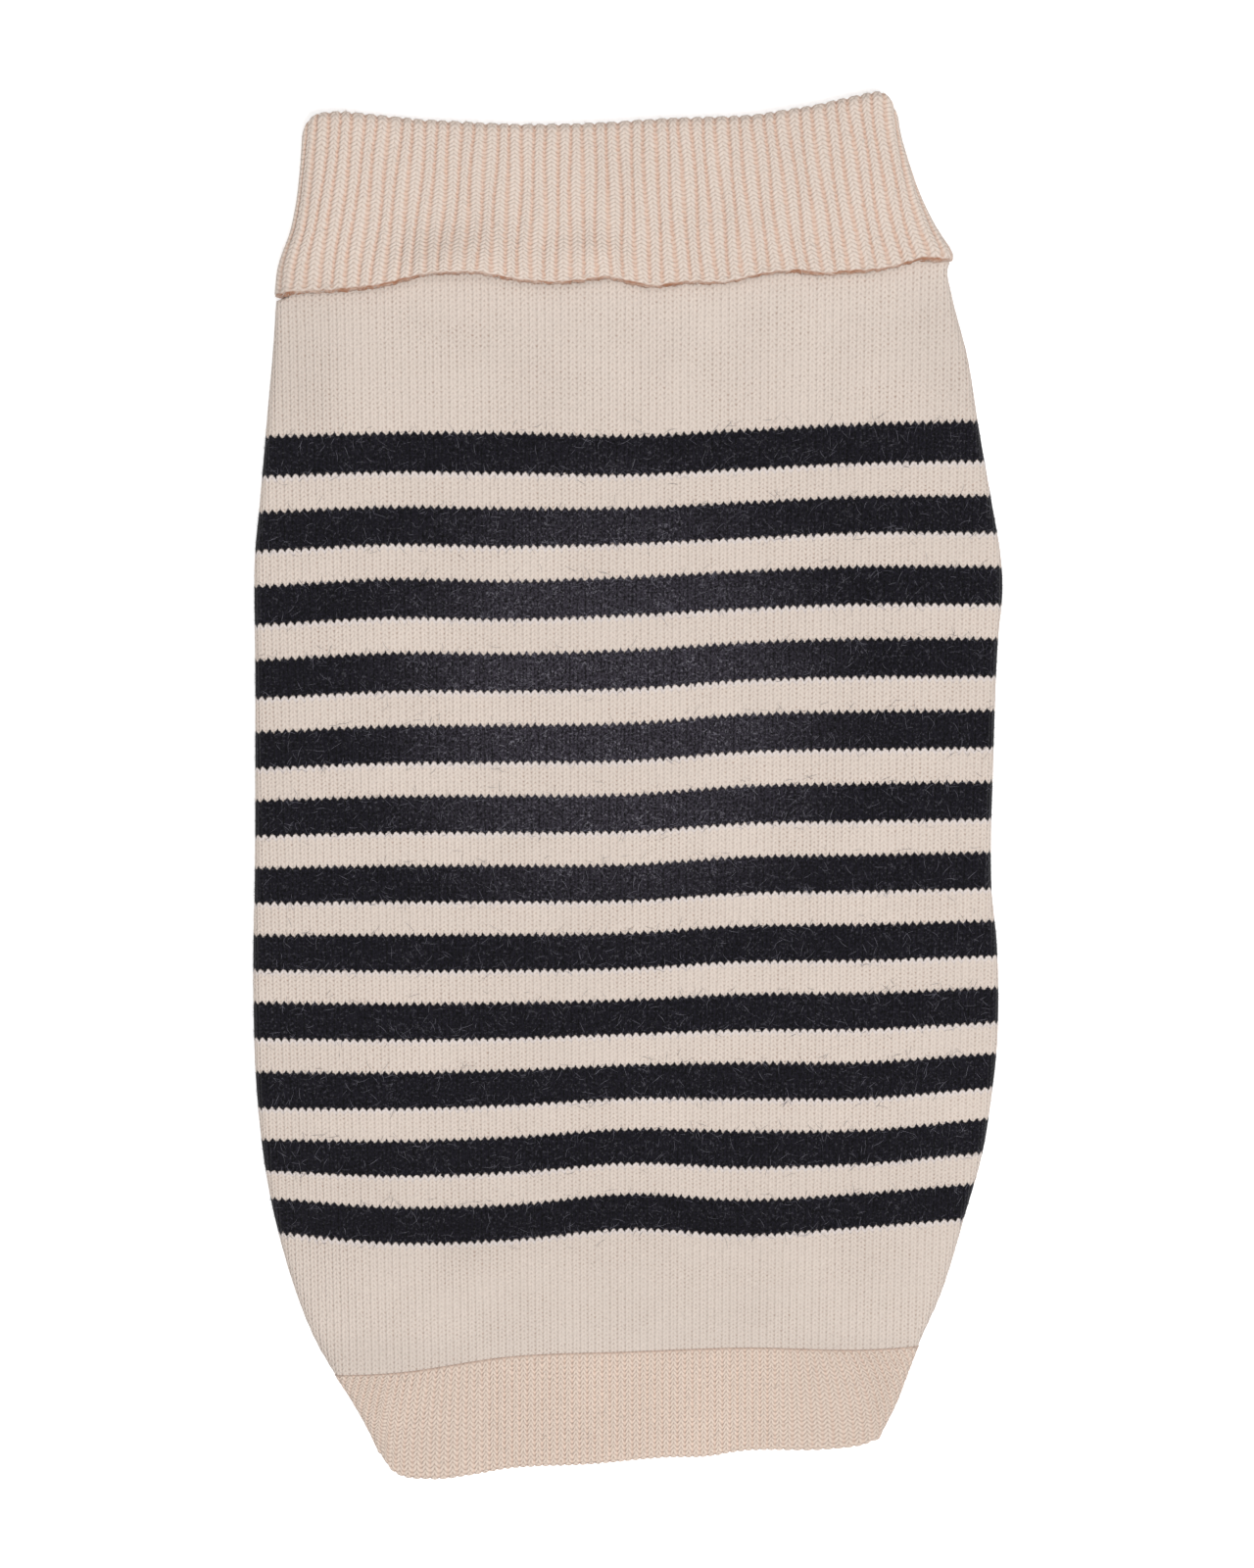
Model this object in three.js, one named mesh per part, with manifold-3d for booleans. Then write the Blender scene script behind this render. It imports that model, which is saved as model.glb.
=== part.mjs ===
import * as THREE from 'three';
import Module from 'manifold-3d';

// A knitted dog sweater lying flat on its belly side: neck towards +Y, hem towards -Y.
// Sizes are in millimetres. The underside rests at height zero.

// Walls, layers and seams
const BODY_WALL = 2.4;
const RIB_WALL = 2.4;
const SEAM_GAP = 0.32;
const END_SEAM_GAP = 0.6;
const SIDE_SEAM_GAP = 0.75;
const BODY_HALF = 3.2;
const CROWN_HIGH = 1.1;
const CROWN_LONG = 22;
const COLLAR_HALF = 5.9;
const LAYER_GAP = 0.66;
const NECK_LIFT = RIB_WALL + LAYER_GAP;
const NECK_HALF = COLLAR_HALF - NECK_LIFT;

// Knit: stitch columns of the back panel and their width from neck to hem
const BACK_WALES = 113;
const LAST_COURSE = 248;
const NECK_WALE = 2.46;
const HEM_WALE = 2.28;

// Ribs of the collar and the hem
const COLLAR_RIBS = 53;
const COLLAR_RIBS_AT_TOP = 51;
const COLLAR_RIBS_AT_EDGE = 52.6;
const COLLAR_RIB_HIGH = 0.7;
const HEM_RIBS = 79;
const HEM_RIB_WIDE = 2.3;
const HEM_RIB_HIGH = 0.5;
const HEM_SPREAD = { left: 3.6, right: 7, from: 44, to: 70 };
const RIB_SHOULDER = 0.27;

// Neck: how far the body takes to rise into the collar, and to draw in under it
const RISE_LONG = 14;
const DRAW_IN_LONG = 1.6;
const EDGE_LIFT_LONG = 16;

// Leg openings and the narrow bands that finish them
const LEG = { x: 45, y: 84, wide: 28, long: 33, band: 7 };

// Garment outline from collar top to hem, seen from above
const OUTLINE = [
  { y: 212, left: -97.0, right: 80.0 },
  { y: 206, left: -99.0, right: 82.0 },
  { y: 202, left: -99.2, right: 82.4 },
  { y: 188, left: -100.1, right: 86.3 },
  { y: 178, left: -101.3, right: 90.2 },
  { y: 169, left: -103.3, right: 95.1 },
  { y: 164, left: -105.2, right: 98.4 },
  { y: 162, left: -105.9, right: 99.2 },
  { y: 160, left: -106.5, right: 98.2 },
  { y: 158, left: -107.0, right: 97.8 },
  { y: 151, left: -107.7, right: 99.1 },
  { y: 146, left: -108.1, right: 100.3 },
  { y: 133, left: -109.1, right: 103.7 },
  { y: 109, left: -111.2, right: 107.6 },
  { y: 85, left: -113.3, right: 111.8 },
  { y: 73, left: -114.5, right: 113.9 },
  { y: 61, left: -114.8, right: 114.8 },
  { y: 45, left: -114.6, right: 113.4 },
  { y: 10, left: -114.5, right: 112.0 },
  { y: -32, left: -114.7, right: 111.4 },
  { y: -48, left: -115.1, right: 113.0 },
  { y: -78, left: -114.8, right: 113.2 },
  { y: -95, left: -113.9, right: 111.5 },
  { y: -113, left: -112.0, right: 108.6 },
  { y: -131, left: -108.8, right: 103.4 },
  { y: -155, left: -101.9, right: 95.9 },
  { y: -171, left: -95.4, right: 88.6 },
  { y: -181, left: -89.6, right: 84.8 },
  { y: -188, left: -85.0, right: 82.2 },
  { y: -199, left: -78.8, right: 77.0 },
  { y: -212, left: -73.0, right: 71.0 },
];

// Height in the picture of knitted rows, at seven places across the back
const PLACES = [-107, -72, -36, 0, 36, 72, 102];
const ROWS = [
  { course: 0, y: [160.0, 161.6, 163.0, 164.0, 165.4, 167.2, 169.5] },
  { course: 35, y: [107.3, 108.2, 108.2, 107.3, 109.1, 110.9, 111.8] },
  { course: 67, y: [61.7, 63.5, 62.9, 64.1, 65.9, 67.4, 67.4] },
  { course: 99, y: [17.0, 18.5, 18.8, 19.4, 22.1, 23.0, 23.3] },
  { course: 131, y: [-24.8, -24.2, -24.2, -23.9, -21.5, -20.9, -20.3] },
  { course: 163, y: [-66.2, -66.5, -66.2, -65.3, -63.5, -63.2, -62.0] },
  { course: 195, y: [-108.2, -108.5, -107.3, -104.9, -105.5, -105.2, -102.5] },
  { course: 219, y: [-136.1, -139.1, -138.2, -134.9, -136.7, -134.3, -131.9] },
  { course: LAST_COURSE, y: [-180.5, -179.6, -174.5, -173.0, -171.8, -172.4, -170.3] },
];

// Collar: top fold, wavy free edge and how far that edge stands off the body
const COLLAR = [
  { at: 0.0, top: 201.0, edge: 149.6, off: 0.0 },
  { at: 0.012, top: 204.6, edge: 149.9, off: 0.0 },
  { at: 0.03, top: 205.9, edge: 150.4, off: 0.1 },
  { at: 0.06, top: 206.3, edge: 150.6, off: 0.2 },
  { at: 0.09, top: 205.9, edge: 150.9, off: 0.4 },
  { at: 0.127, top: 205.2, edge: 151.5, off: 0.8 },
  { at: 0.163, top: 204.5, edge: 152.6, off: 0.6 },
  { at: 0.194, top: 203.9, edge: 154.2, off: 0.4 },
  { at: 0.224, top: 203.6, edge: 155.7, off: 0.8 },
  { at: 0.26, top: 203.2, edge: 156.0, off: 1.3 },
  { at: 0.301, top: 202.8, edge: 156.1, off: 0.8 },
  { at: 0.33, top: 202.6, edge: 155.0, off: 0.8 },
  { at: 0.36, top: 202.4, edge: 154.0, off: 1.6 },
  { at: 0.4, top: 202.4, edge: 153.2, off: 1.9 },
  { at: 0.444, top: 202.5, edge: 153.5, off: 1.7 },
  { at: 0.476, top: 202.7, edge: 154.5, off: 0.8 },
  { at: 0.498, top: 202.9, edge: 154.7, off: 0.4 },
  { at: 0.524, top: 203.1, edge: 153.4, off: 0.5 },
  { at: 0.554, top: 203.5, edge: 152.3, off: 0.9 },
  { at: 0.585, top: 203.9, edge: 152.6, off: 0.8 },
  { at: 0.61, top: 204.2, edge: 153.4, off: 0.4 },
  { at: 0.646, top: 204.4, edge: 153.3, off: 0.5 },
  { at: 0.68, top: 204.6, edge: 153.9, off: 0.7 },
  { at: 0.709, top: 204.8, edge: 155.3, off: 0.4 },
  { at: 0.753, top: 205.2, edge: 156.7, off: 0.1 },
  { at: 0.775, top: 205.7, edge: 156.8, off: 0.2 },
  { at: 0.8, top: 206.5, edge: 156.0, off: 0.7 },
  { at: 0.85, top: 207.9, edge: 156.4, off: 0.5 },
  { at: 0.9, top: 209.9, edge: 157.4, off: 0.5 },
  { at: 0.937, top: 211.4, edge: 159.3, off: 0.3 },
  { at: 0.965, top: 212.3, edge: 161.0, off: 0.1 },
  { at: 0.982, top: 212.0, edge: 161.4, off: 0.0 },
  { at: 0.991, top: 210.6, edge: 161.6, off: 0.0 },
  { at: 1.0, top: 206.6, edge: 161.7, off: 0.0 },
];

// Lower edge of the hem band
const HEM = [
  { x: -76, bottom: -204.5 },
  { x: -72.5, bottom: -209.3 },
  { x: -60.5, bottom: -212.0 },
  { x: -48.5, bottom: -210.8 },
  { x: -36.5, bottom: -208.7 },
  { x: -12.5, bottom: -207.5 },
  { x: 11.6, bottom: -205.4 },
  { x: 23.6, bottom: -205.1 },
  { x: 35.6, bottom: -203.3 },
  { x: 59.6, bottom: -203.0 },
  { x: 71.6, bottom: -201.6 },
  { x: 75.5, bottom: -200.2 },
];

// Soft folds that lift the back panel: place, turn in degrees, length, width and height
const FOLDS = [
  { x: 18, y: 136, turn: 55, long: 40, wide: 9, high: 0.9 },
  { x: -50, y: 131, turn: 140, long: 34, wide: 10, high: 0.8 },
  { x: 64, y: 116, turn: 70, long: 50, wide: 12, high: 0.7 },
  { x: -78, y: 38, turn: 95, long: 90, wide: 16, high: 0.8 },
  { x: 70, y: -20, turn: 87, long: 105, wide: 18, high: 0.9 },
  { x: -28, y: -88, turn: 12, long: 80, wide: 14, high: 0.7 },
  { x: 30, y: -140, turn: 171, long: 66, wide: 12, high: 0.8 },
  { x: -60, y: -158, turn: 35, long: 36, wide: 9, high: 0.9 },
];

// Smooth curve through one column of a table
function curve(rows, key, column, at) {
  const rising = rows[rows.length - 1][key] > rows[0][key];
  const last = rows.length - 2;
  let i = 0;
  while (i < last && (rising ? at > rows[i + 1][key] : at < rows[i + 1][key])) {
    i += 1;
  }
  const slope = (a, b) => (rows[b][column] - rows[a][column]) / (rows[b][key] - rows[a][key]);
  const here = slope(i, i + 1);
  const before = i > 0 ? (slope(i - 1, i) + here) / 2 : here;
  const after = i < last ? (slope(i + 1, i + 2) + here) / 2 : here;
  const step = rows[i + 1][key] - rows[i][key];
  const t = THREE.MathUtils.clamp((at - rows[i][key]) / step, -0.5, 1.5);
  if (t < 0 || t > 1) {
    return t < 0 ? rows[i][column] + here * step * t : rows[i + 1][column] + here * step * (t - 1);
  }
  const start = rows[i][column] * (1 + 2 * t) * (1 - t) ** 2 + before * step * t * (1 - t) ** 2;
  return start + rows[i + 1][column] * t * t * (3 - 2 * t) + after * step * t * t * (t - 1);
}

const mix = THREE.MathUtils.lerp;
const ease = (from, to, at) => THREE.MathUtils.smoothstep(at, from, to);

// Height in the picture of one knitted row, at a place across the body
const courseLine = (course) => {
  const line = PLACES.map((x, i) => {
    const column = ROWS.map((row) => ({ course: row.course, y: row.y[i] }));
    return { x, y: curve(column, 'course', 'y', course) };
  });
  return (x) => curve(line, 'x', 'y', x);
};

const EDGE_LEFT = -107.5;
const EDGE_WIDE = 206;
const collarEdge = (x) => {
  const at = THREE.MathUtils.clamp((x - EDGE_LEFT) / EDGE_WIDE, 0, 1);
  return curve(COLLAR, 'at', 'edge', at);
};

// Height that the soft folds add to the back panel
function foldHeight(x, y) {
  return FOLDS.reduce((sum, fold) => {
    const turn = THREE.MathUtils.degToRad(fold.turn);
    const along = (x - fold.x) * Math.cos(turn) + (y - fold.y) * Math.sin(turn);
    const across = (y - fold.y) * Math.cos(turn) - (x - fold.x) * Math.sin(turn);
    const spread = (2 * along / fold.long) ** 2 + (2 * across / fold.wide) ** 2;
    return sum + fold.high * Math.exp(-spread);
  }, 0);
}

// Share of the crown's height, at a distance in from where the side fold starts
const crownShare = (inside) => 1 - (1 - THREE.MathUtils.clamp(inside / CROWN_LONG, 0, 1)) ** 2;

// One side of a flattened tube: distance walked from the top middle, round the fold, underneath
function roundTube(walked, side, half) {
  const run = side - half;
  const way = Math.abs(walked);
  const sign = walked < 0 ? -1 : 1;
  if (way <= run) {
    return { x: walked, across: 0, up: 1 };
  }
  const turned = (way - run) / half;
  if (turned < Math.PI) {
    const across = sign * Math.sin(turned);
    return { x: sign * run + half * across, across, up: Math.cos(turned) };
  }
  return { x: sign * (run - (turned - Math.PI) * half), across: 0, up: -1 };
}

// Cross-section of the body on one knitted row
function bodySection(course) {
  const line = courseLine(course);
  const wale = mix(NECK_WALE, HEM_WALE, course / LAST_COURSE);
  const sideOf = (name, place) => {
    const y = line(place);
    const below = y - collarEdge(place);
    const drawnIn = NECK_LIFT * ease(-DRAW_IN_LONG, -END_SEAM_GAP, below);
    const side = Math.abs(curve(OUTLINE, 'y', name, y)) - drawnIn;
    const half = mix(BODY_HALF, NECK_HALF, ease(-RISE_LONG, -SEAM_GAP, below));
    const fold = side - half + Math.PI * half;
    return { side, half, run: side - half, fold, reach: wale * BACK_WALES / 2 - fold - 2 * drawnIn };
  };
  const left = sideOf('left', PLACES[0]);
  const right = sideOf('right', PLACES[PLACES.length - 1]);
  const point = (walked, inward) => {
    const { side, half } = walked < 0 ? left : right;
    const at = roundTube(walked, side, half);
    const y = line(at.x);
    const risen = ease(-RISE_LONG, -SEAM_GAP, y - collarEdge(at.x));
    const low = NECK_LIFT * risen;
    const flatTop = mix(2 * BODY_HALF, COLLAR_HALF + NECK_HALF, risen);
    const middle = 1 - ease(0.8, 1, Math.abs(at.x) / side);
    const crown = CROWN_HIGH * crownShare(side - half - Math.abs(at.x));
    const high = flatTop + (crown + foldHeight(at.x, y) * middle) * (1 - risen);
    const z = (low + high) / 2 + (high - low) / 2 * at.up;
    return [at.x - inward * at.across, y, z - inward * at.up];
  };
  return { left, right, point };
}

// Even steps from one value to another
const steps = (from, to, count) => Array.from({ length: count + 1 }, (_, i) => mix(from, to, i / count));

// Closed surface from rings of points, joined ring to ring; open rings end in caps
function ringSolid(rings, closed) {
  const size = rings[0].length;
  const index = [];
  const at = (i, j) => (i % rings.length) * size + (j % size);
  const quad = (a, b, c, d) => index.push(a, b, c, a, c, d);
  for (let i = 0; i < rings.length - (closed ? 0 : 1); i += 1) {
    for (let j = 0; j < size; j += 1) {
      quad(at(i, j), at(i, j + 1), at(i + 1, j + 1), at(i + 1, j));
    }
  }
  if (!closed) {
    const end = rings.length - 1;
    for (let j = 0; j < size / 2 - 1; j += 1) {
      const back = size - 1 - j;
      quad(at(0, j), at(0, back), at(0, back - 1), at(0, j + 1));
      quad(at(end, j), at(end, j + 1), at(end, back - 1), at(end, back));
    }
  }
  return facingOut(rings.flat(), index);
}

// Geometry with its faces turned outwards
function facingOut(points, index) {
  let volume = 0;
  for (let i = 0; i < index.length; i += 3) {
    const [a, b, c] = [points[index[i]], points[index[i + 1]], points[index[i + 2]]];
    volume += a[0] * (b[1] * c[2] - b[2] * c[1]);
    volume += a[1] * (b[2] * c[0] - b[0] * c[2]);
    volume += a[2] * (b[0] * c[1] - b[1] * c[0]);
  }
  if (volume < 0) {
    index.reverse();
  }
  const geometry = new THREE.BufferGeometry();
  geometry.setAttribute('position', new THREE.Float32BufferAttribute(points.flat(), 3));
  geometry.setIndex(index);
  geometry.computeVertexNormals();
  return geometry;
}

// Knitted rows that the two body panels are built on, closer together under the collar edge
const BODY_COURSES = [
  0, 2, 4, 5, 6, 7, 8, 9, 10, 12, 15, 19, 25, 33, 43, 55, 69, 84, 99, 115, 131, 147, 163, 179, 195,
  208, 219, 229, 239, LAST_COURSE,
];
const FLAT_STEPS = 16;
const FOLD_STEPS = 5;
const REACH_STEPS = 2;

// Back panel: the whole top, both side folds and a strip of the underside up to the side seams
function backPanel() {
  const rings = BODY_COURSES.map((course) => {
    const { left, right, point } = bodySection(course);
    const walk = [
      ...steps(-left.fold - left.reach, -left.fold, REACH_STEPS).slice(0, -1),
      ...steps(-left.fold, -left.run, FOLD_STEPS).slice(0, -1),
      ...steps(-left.run, right.run, FLAT_STEPS).slice(0, -1),
      ...steps(right.run, right.fold, FOLD_STEPS).slice(0, -1),
      ...steps(right.fold, right.fold + right.reach, REACH_STEPS),
    ];
    const outer = walk.map((walked) => point(walked, 0));
    const inner = walk.map((walked) => point(walked, BODY_WALL));
    return [...outer, ...inner.reverse()];
  });
  return ringSolid(rings, false);
}

// Belly panel: the middle of the underside, between the side seams
const BELLY_STEPS = 12;
function bellyPanel() {
  const rings = BODY_COURSES.map((course) => {
    const { left, right, point } = bodySection(course);
    const walk = [
      ...steps(-left.fold - left.reach - SIDE_SEAM_GAP, -left.fold - left.run, BELLY_STEPS / 2),
      ...steps(right.fold + right.run, right.fold + right.reach + SIDE_SEAM_GAP, BELLY_STEPS / 2).slice(1),
    ];
    const outer = walk.map((walked) => point(walked, 0));
    const inner = walk.map((walked) => point(walked, BODY_WALL));
    return [...outer, ...inner.reverse()];
  });
  return ringSolid(rings, false);
}

// Rib across the cloth: two shoulders at full height and a groove between ribs
function ribColumns(count) {
  const columns = [];
  for (let rib = 0; rib < count; rib += 1) {
    const middle = rib - (count - 1) / 2;
    columns.push({ place: middle - 0.5, high: 0 });
    columns.push({ place: middle - RIB_SHOULDER, high: 1 });
    columns.push({ place: middle + RIB_SHOULDER, high: 1 });
  }
  columns.push({ place: count / 2, high: 0 });
  return columns;
}

// Share of the rib height kept round a side fold, none on the underside
const ribShare = (up) => THREE.MathUtils.clamp((up + 0.8) / 0.8, 0, 1);

// Columns round the rest of a tube, from where its ribs end on the right, underneath, to the left
function lowerColumns(parts, half, ribsEnd) {
  const whole = (side) => 2 * (side - half) + Math.PI * half;
  const onRight = parts.map((part) => ({
    high: 0,
    walk: (left, right, share) => mix(ribsEnd(left, right, share, 1), whole(right), part),
  }));
  const onLeft = parts.slice(0, -1).map((part) => ({
    high: 0,
    walk: (left, right, share) => mix(ribsEnd(left, right, share, 0), -whole(left), part),
  }));
  return [...onRight, ...onLeft.reverse()];
}

// Collar: one ribbed tube standing up inside and turned down over itself outside
const TOP_FOLD = RIB_WALL + LAYER_GAP / 2;
const BEAD_AT = 0.965;
const BEAD_HIGH = 0.45;
const EDGE_ROUND = 0.7;

const COLLAR_PARTS = [0.03, 0.06, 0.095, 0.4, 0.7, 1];

// Walk to a groove or rib of the collar; fewer ribs show at the top fold than at the free edge
function collarWalk(place, left, right, fall) {
  const quarter = (Math.PI / 2 - 1) * COLLAR_HALF;
  const shown = mix(COLLAR_RIBS_AT_TOP, COLLAR_RIBS_AT_EDGE, fall);
  return mix(-left - quarter, right + quarter, (place + COLLAR_RIBS / 2) / shown);
}

function collarColumns() {
  const over = ribColumns(COLLAR_RIBS).map(({ place, high }) => ({
    high,
    walk: (left, right, fall) => collarWalk(place, left, right, fall),
  }));
  const ribsEnd = (left, right, fall, end) => collarWalk((end - 0.5) * COLLAR_RIBS, left, right, fall);
  return [...over, ...lowerColumns(COLLAR_PARTS, COLLAR_HALF, ribsEnd)];
}

// Profile of the collar from the neck seam, up, over the top fold and down to the free edge and back.
// Each row has its height in the picture, its share of the way down, its depth below the outer face
// and its share of the rib.
function collarProfile() {
  const neck = courseLine(0);
  const crest = (at) => curve(COLLAR, 'at', 'top', at) - TOP_FOLD;
  const edge = (at) => curve(COLLAR, 'at', 'edge', at);
  const stand = (share) => (at, x) => mix(crest(at), neck(x) + END_SEAM_GAP, share);
  const turned = (share) => (at) => mix(crest(at), edge(at), share);
  const inner = 2 * RIB_WALL + LAYER_GAP;
  const arc = [0.25, 0.5, 0.75].map((part) => {
    const turn = Math.PI * (1 - part);
    const rib = (1 + Math.cos(turn)) / 2;
    return {
      y: (at) => crest(at) + (TOP_FOLD + COLLAR_RIB_HIGH * rib) * Math.sin(turn),
      fall: 0,
      depth: TOP_FOLD - TOP_FOLD * Math.cos(turn),
      rib: rib * Math.cos(turn),
    };
  });
  const standing = (share, depth) => ({ y: stand(share), fall: 0, depth, rib: 0 });
  const falling = (share, depth, rib) => ({ y: turned(share), fall: share, depth, rib });
  return [
    ...[1, 0.5, 0].map((share) => standing(share, inner)),
    ...arc,
    ...[0, 0.2, 0.45, 0.7, 0.92].map((share) => falling(share, 0, 1)),
    falling(BEAD_AT, -BEAD_HIGH, 0),
    falling(1, EDGE_ROUND, 0),
    falling(1, RIB_WALL - EDGE_ROUND, 0),
    ...[BEAD_AT, 0.8, 0.4, 0].map((share) => falling(share, RIB_WALL, 0)),
    ...[0, 0.5, 1].map((share) => standing(share, RIB_WALL + LAYER_GAP)),
  ];
}

function collar() {
  const profile = collarProfile().map((row) => {
    const side = (name, at, x) => Math.abs(curve(OUTLINE, 'y', name, row.y(at, x)));
    return { ...row, left: side('left', 0, PLACES[0]), right: side('right', 1, PLACES[PLACES.length - 1]) };
  });
  const outerDepth = RIB_WALL + LAYER_GAP / 2;
  const rings = collarColumns().map((column) => profile.map((row) => {
    const walked = column.walk(row.left, row.right, row.fall);
    const at = roundTube(walked, walked < 0 ? row.left : row.right, COLLAR_HALF);
    const share = (at.x + row.left) / (row.left + row.right);
    const y = row.y(share, at.x);
    const fromEdge = y - curve(COLLAR, 'at', 'edge', share);
    const off = curve(COLLAR, 'at', 'off', share) * (1 - ease(0, EDGE_LIFT_LONG, fromEdge));
    const lifted = row.depth < outerDepth ? off * Math.max(0, at.up) : 0;
    const under = at.up < 0 ? 1 + at.up : 1;
    const rib = row.rib * COLLAR_RIB_HIGH * column.high * ribShare(at.up);
    const out = rib - (row.depth < 0 ? row.depth * under : row.depth);
    return [at.x + out * at.across, y, COLLAR_HALF * (1 + at.up) + out * at.up + lifted];
  }));
  return ringSolid(rings, true);
}

// Hem band: one ribbed tube below the body, whose outer ribs lean out towards the lower edge
const HEM_PARTS = [0.02, 0.045, 0.075, 0.3, 0.65, 1];
const HEM_EDGE_AT = 0.95;

function hemBand() {
  const seam = courseLine(LAST_COURSE);
  const within = (x) => THREE.MathUtils.clamp(x, HEM[0].x, HEM[HEM.length - 1].x);
  const bottom = (x) => curve(HEM, 'x', 'bottom', within(x));
  const rowY = (share) => (x) => mix(seam(x) - END_SEAM_GAP, bottom(x), share);
  const spread = (place, share) => {
    const spot = place * HEM_RIB_WIDE;
    const lean = spot < 0 ? -HEM_SPREAD.left : HEM_SPREAD.right;
    return spot + lean * ease(HEM_SPREAD.from, HEM_SPREAD.to, Math.abs(spot)) * (1 - (1 - share) ** 2);
  };
  const rows = [
    ...[0, 0.33, 0.66, HEM_EDGE_AT].map((share) => ({ share, depth: 0, rib: 1 })),
    { share: 1, depth: EDGE_ROUND, rib: 0 },
    { share: 1, depth: RIB_WALL - EDGE_ROUND, rib: 0 },
    ...[HEM_EDGE_AT, 0].map((share) => ({ share, depth: RIB_WALL, rib: 0 })),
  ].map((row) => {
    const y = rowY(row.share);
    const left = Math.abs(curve(OUTLINE, 'y', 'left', y(PLACES[0])));
    const right = curve(OUTLINE, 'y', 'right', y(PLACES[PLACES.length - 1]));
    return { ...row, y, left, right };
  });
  const ribsEnd = (left, right, share, end) => spread((end - 0.5) * HEM_RIBS, share);
  const columns = [
    ...ribColumns(HEM_RIBS).map(({ place, high }) => ({
      high,
      walk: (left, right, share) => spread(place, share),
    })),
    ...lowerColumns(HEM_PARTS, BODY_HALF, ribsEnd),
  ];
  const rings = columns.map((column) => rows.map((row) => {
    const walked = column.walk(row.left, row.right, row.share);
    const at = roundTube(walked, walked < 0 ? row.left : row.right, BODY_HALF);
    const out = row.rib * HEM_RIB_HIGH * column.high * ribShare(at.up) - row.depth;
    return [at.x + out * at.across, row.y(at.x), BODY_HALF * (1 + at.up) + out * at.up];
  }));
  return ringSolid(rings, true);
}

// Band round a leg opening: a flat ring with a rounded inner edge, in the plane of the belly panel
const LEG_STEPS = 30;
const BAND_PROFILE = [
  { in: 0, up: 0 },
  { in: 0.9, up: 0 },
  { in: 1, up: 0.28 },
  { in: 1, up: 0.72 },
  { in: 0.9, up: 1 },
  { in: 0, up: 1 },
];

function legBand(side) {
  const rings = steps(0, 2 * Math.PI, LEG_STEPS).slice(0, -1).map((turn) => BAND_PROFILE.map((row) => {
    const inward = SEAM_GAP + row.in * LEG.band;
    const x = side * LEG.x + (LEG.wide - inward) * Math.cos(turn);
    return [x, LEG.y + (LEG.long - inward) * Math.sin(turn), row.up * BODY_WALL];
  }));
  return ringSolid(rings, true);
}

// Belly panel with both leg openings cut through
const { Manifold, Mesh } = await Module().then((kit) => {
  kit.setup();
  return kit;
});

function cutLegOpenings(geometry) {
  const body = new Manifold(new Mesh({
    numProp: 3,
    vertProperties: geometry.attributes.position.array,
    triVerts: Uint32Array.from(geometry.index.array),
  }));
  const cutter = (side) => Manifold.cylinder(4 * BODY_WALL, 1, 1, LEG_STEPS)
    .scale([LEG.wide, LEG.long, 1])
    .translate([side * LEG.x, LEG.y, -BODY_WALL]);
  const mesh = body.subtract(cutter(-1)).subtract(cutter(1)).getMesh();
  const cut = new THREE.BufferGeometry();
  cut.setAttribute('position', new THREE.BufferAttribute(new Float32Array(mesh.vertProperties), 3));
  cut.setIndex(Array.from(mesh.triVerts));
  cut.computeVertexNormals();
  return cut;
}

// Colours of the cloth
const CREAM = '#d9cbc0';
const RIB_CREAM = '#d9c6b8';
const PANEL = '#d3c6bc';

const group = new THREE.Group();
function add(name, geometry, color) {
  const mesh = new THREE.Mesh(geometry, new THREE.MeshStandardMaterial({ color, roughness: 0.95 }));
  mesh.name = name;
  group.add(mesh);
}

add('back_panel', backPanel(), CREAM);
add('belly_panel', cutLegOpenings(bellyPanel()), PANEL);
add('collar', collar(), RIB_CREAM);
add('hem_band', hemBand(), RIB_CREAM);
add('leg_band_left', legBand(-1), RIB_CREAM);
add('leg_band_right', legBand(1), RIB_CREAM);

// The origin lies under the middle of the garment
const box = new THREE.Box3().setFromObject(group);
const middle = box.getCenter(new THREE.Vector3());
for (const mesh of group.children) {
  mesh.geometry.translate(-middle.x, -middle.y, -box.min.z);
}

export default group;
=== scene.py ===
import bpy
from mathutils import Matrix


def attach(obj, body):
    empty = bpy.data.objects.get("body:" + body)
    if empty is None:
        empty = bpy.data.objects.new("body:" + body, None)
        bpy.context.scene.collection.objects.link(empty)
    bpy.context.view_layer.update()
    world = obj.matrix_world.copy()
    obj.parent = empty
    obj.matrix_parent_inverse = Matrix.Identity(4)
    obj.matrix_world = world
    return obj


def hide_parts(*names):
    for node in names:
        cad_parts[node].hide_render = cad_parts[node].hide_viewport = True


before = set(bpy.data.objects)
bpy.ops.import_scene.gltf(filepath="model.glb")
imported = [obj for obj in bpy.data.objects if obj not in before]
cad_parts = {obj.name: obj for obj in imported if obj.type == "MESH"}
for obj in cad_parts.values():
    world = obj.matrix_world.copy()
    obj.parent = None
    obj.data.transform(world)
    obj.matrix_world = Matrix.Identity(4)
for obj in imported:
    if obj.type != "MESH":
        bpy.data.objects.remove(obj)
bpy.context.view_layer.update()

import math

import bmesh
import bpy
import numpy as np

# A knitted dog sweater lying flat on its belly side, seen from above: neck towards +Y, hem towards -Y.
# Lengths below are in millimetres, and become metres where a mesh is made.
MM = 0.001
ORIGIN_SHIFT = (0.18, -0.33)

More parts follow.
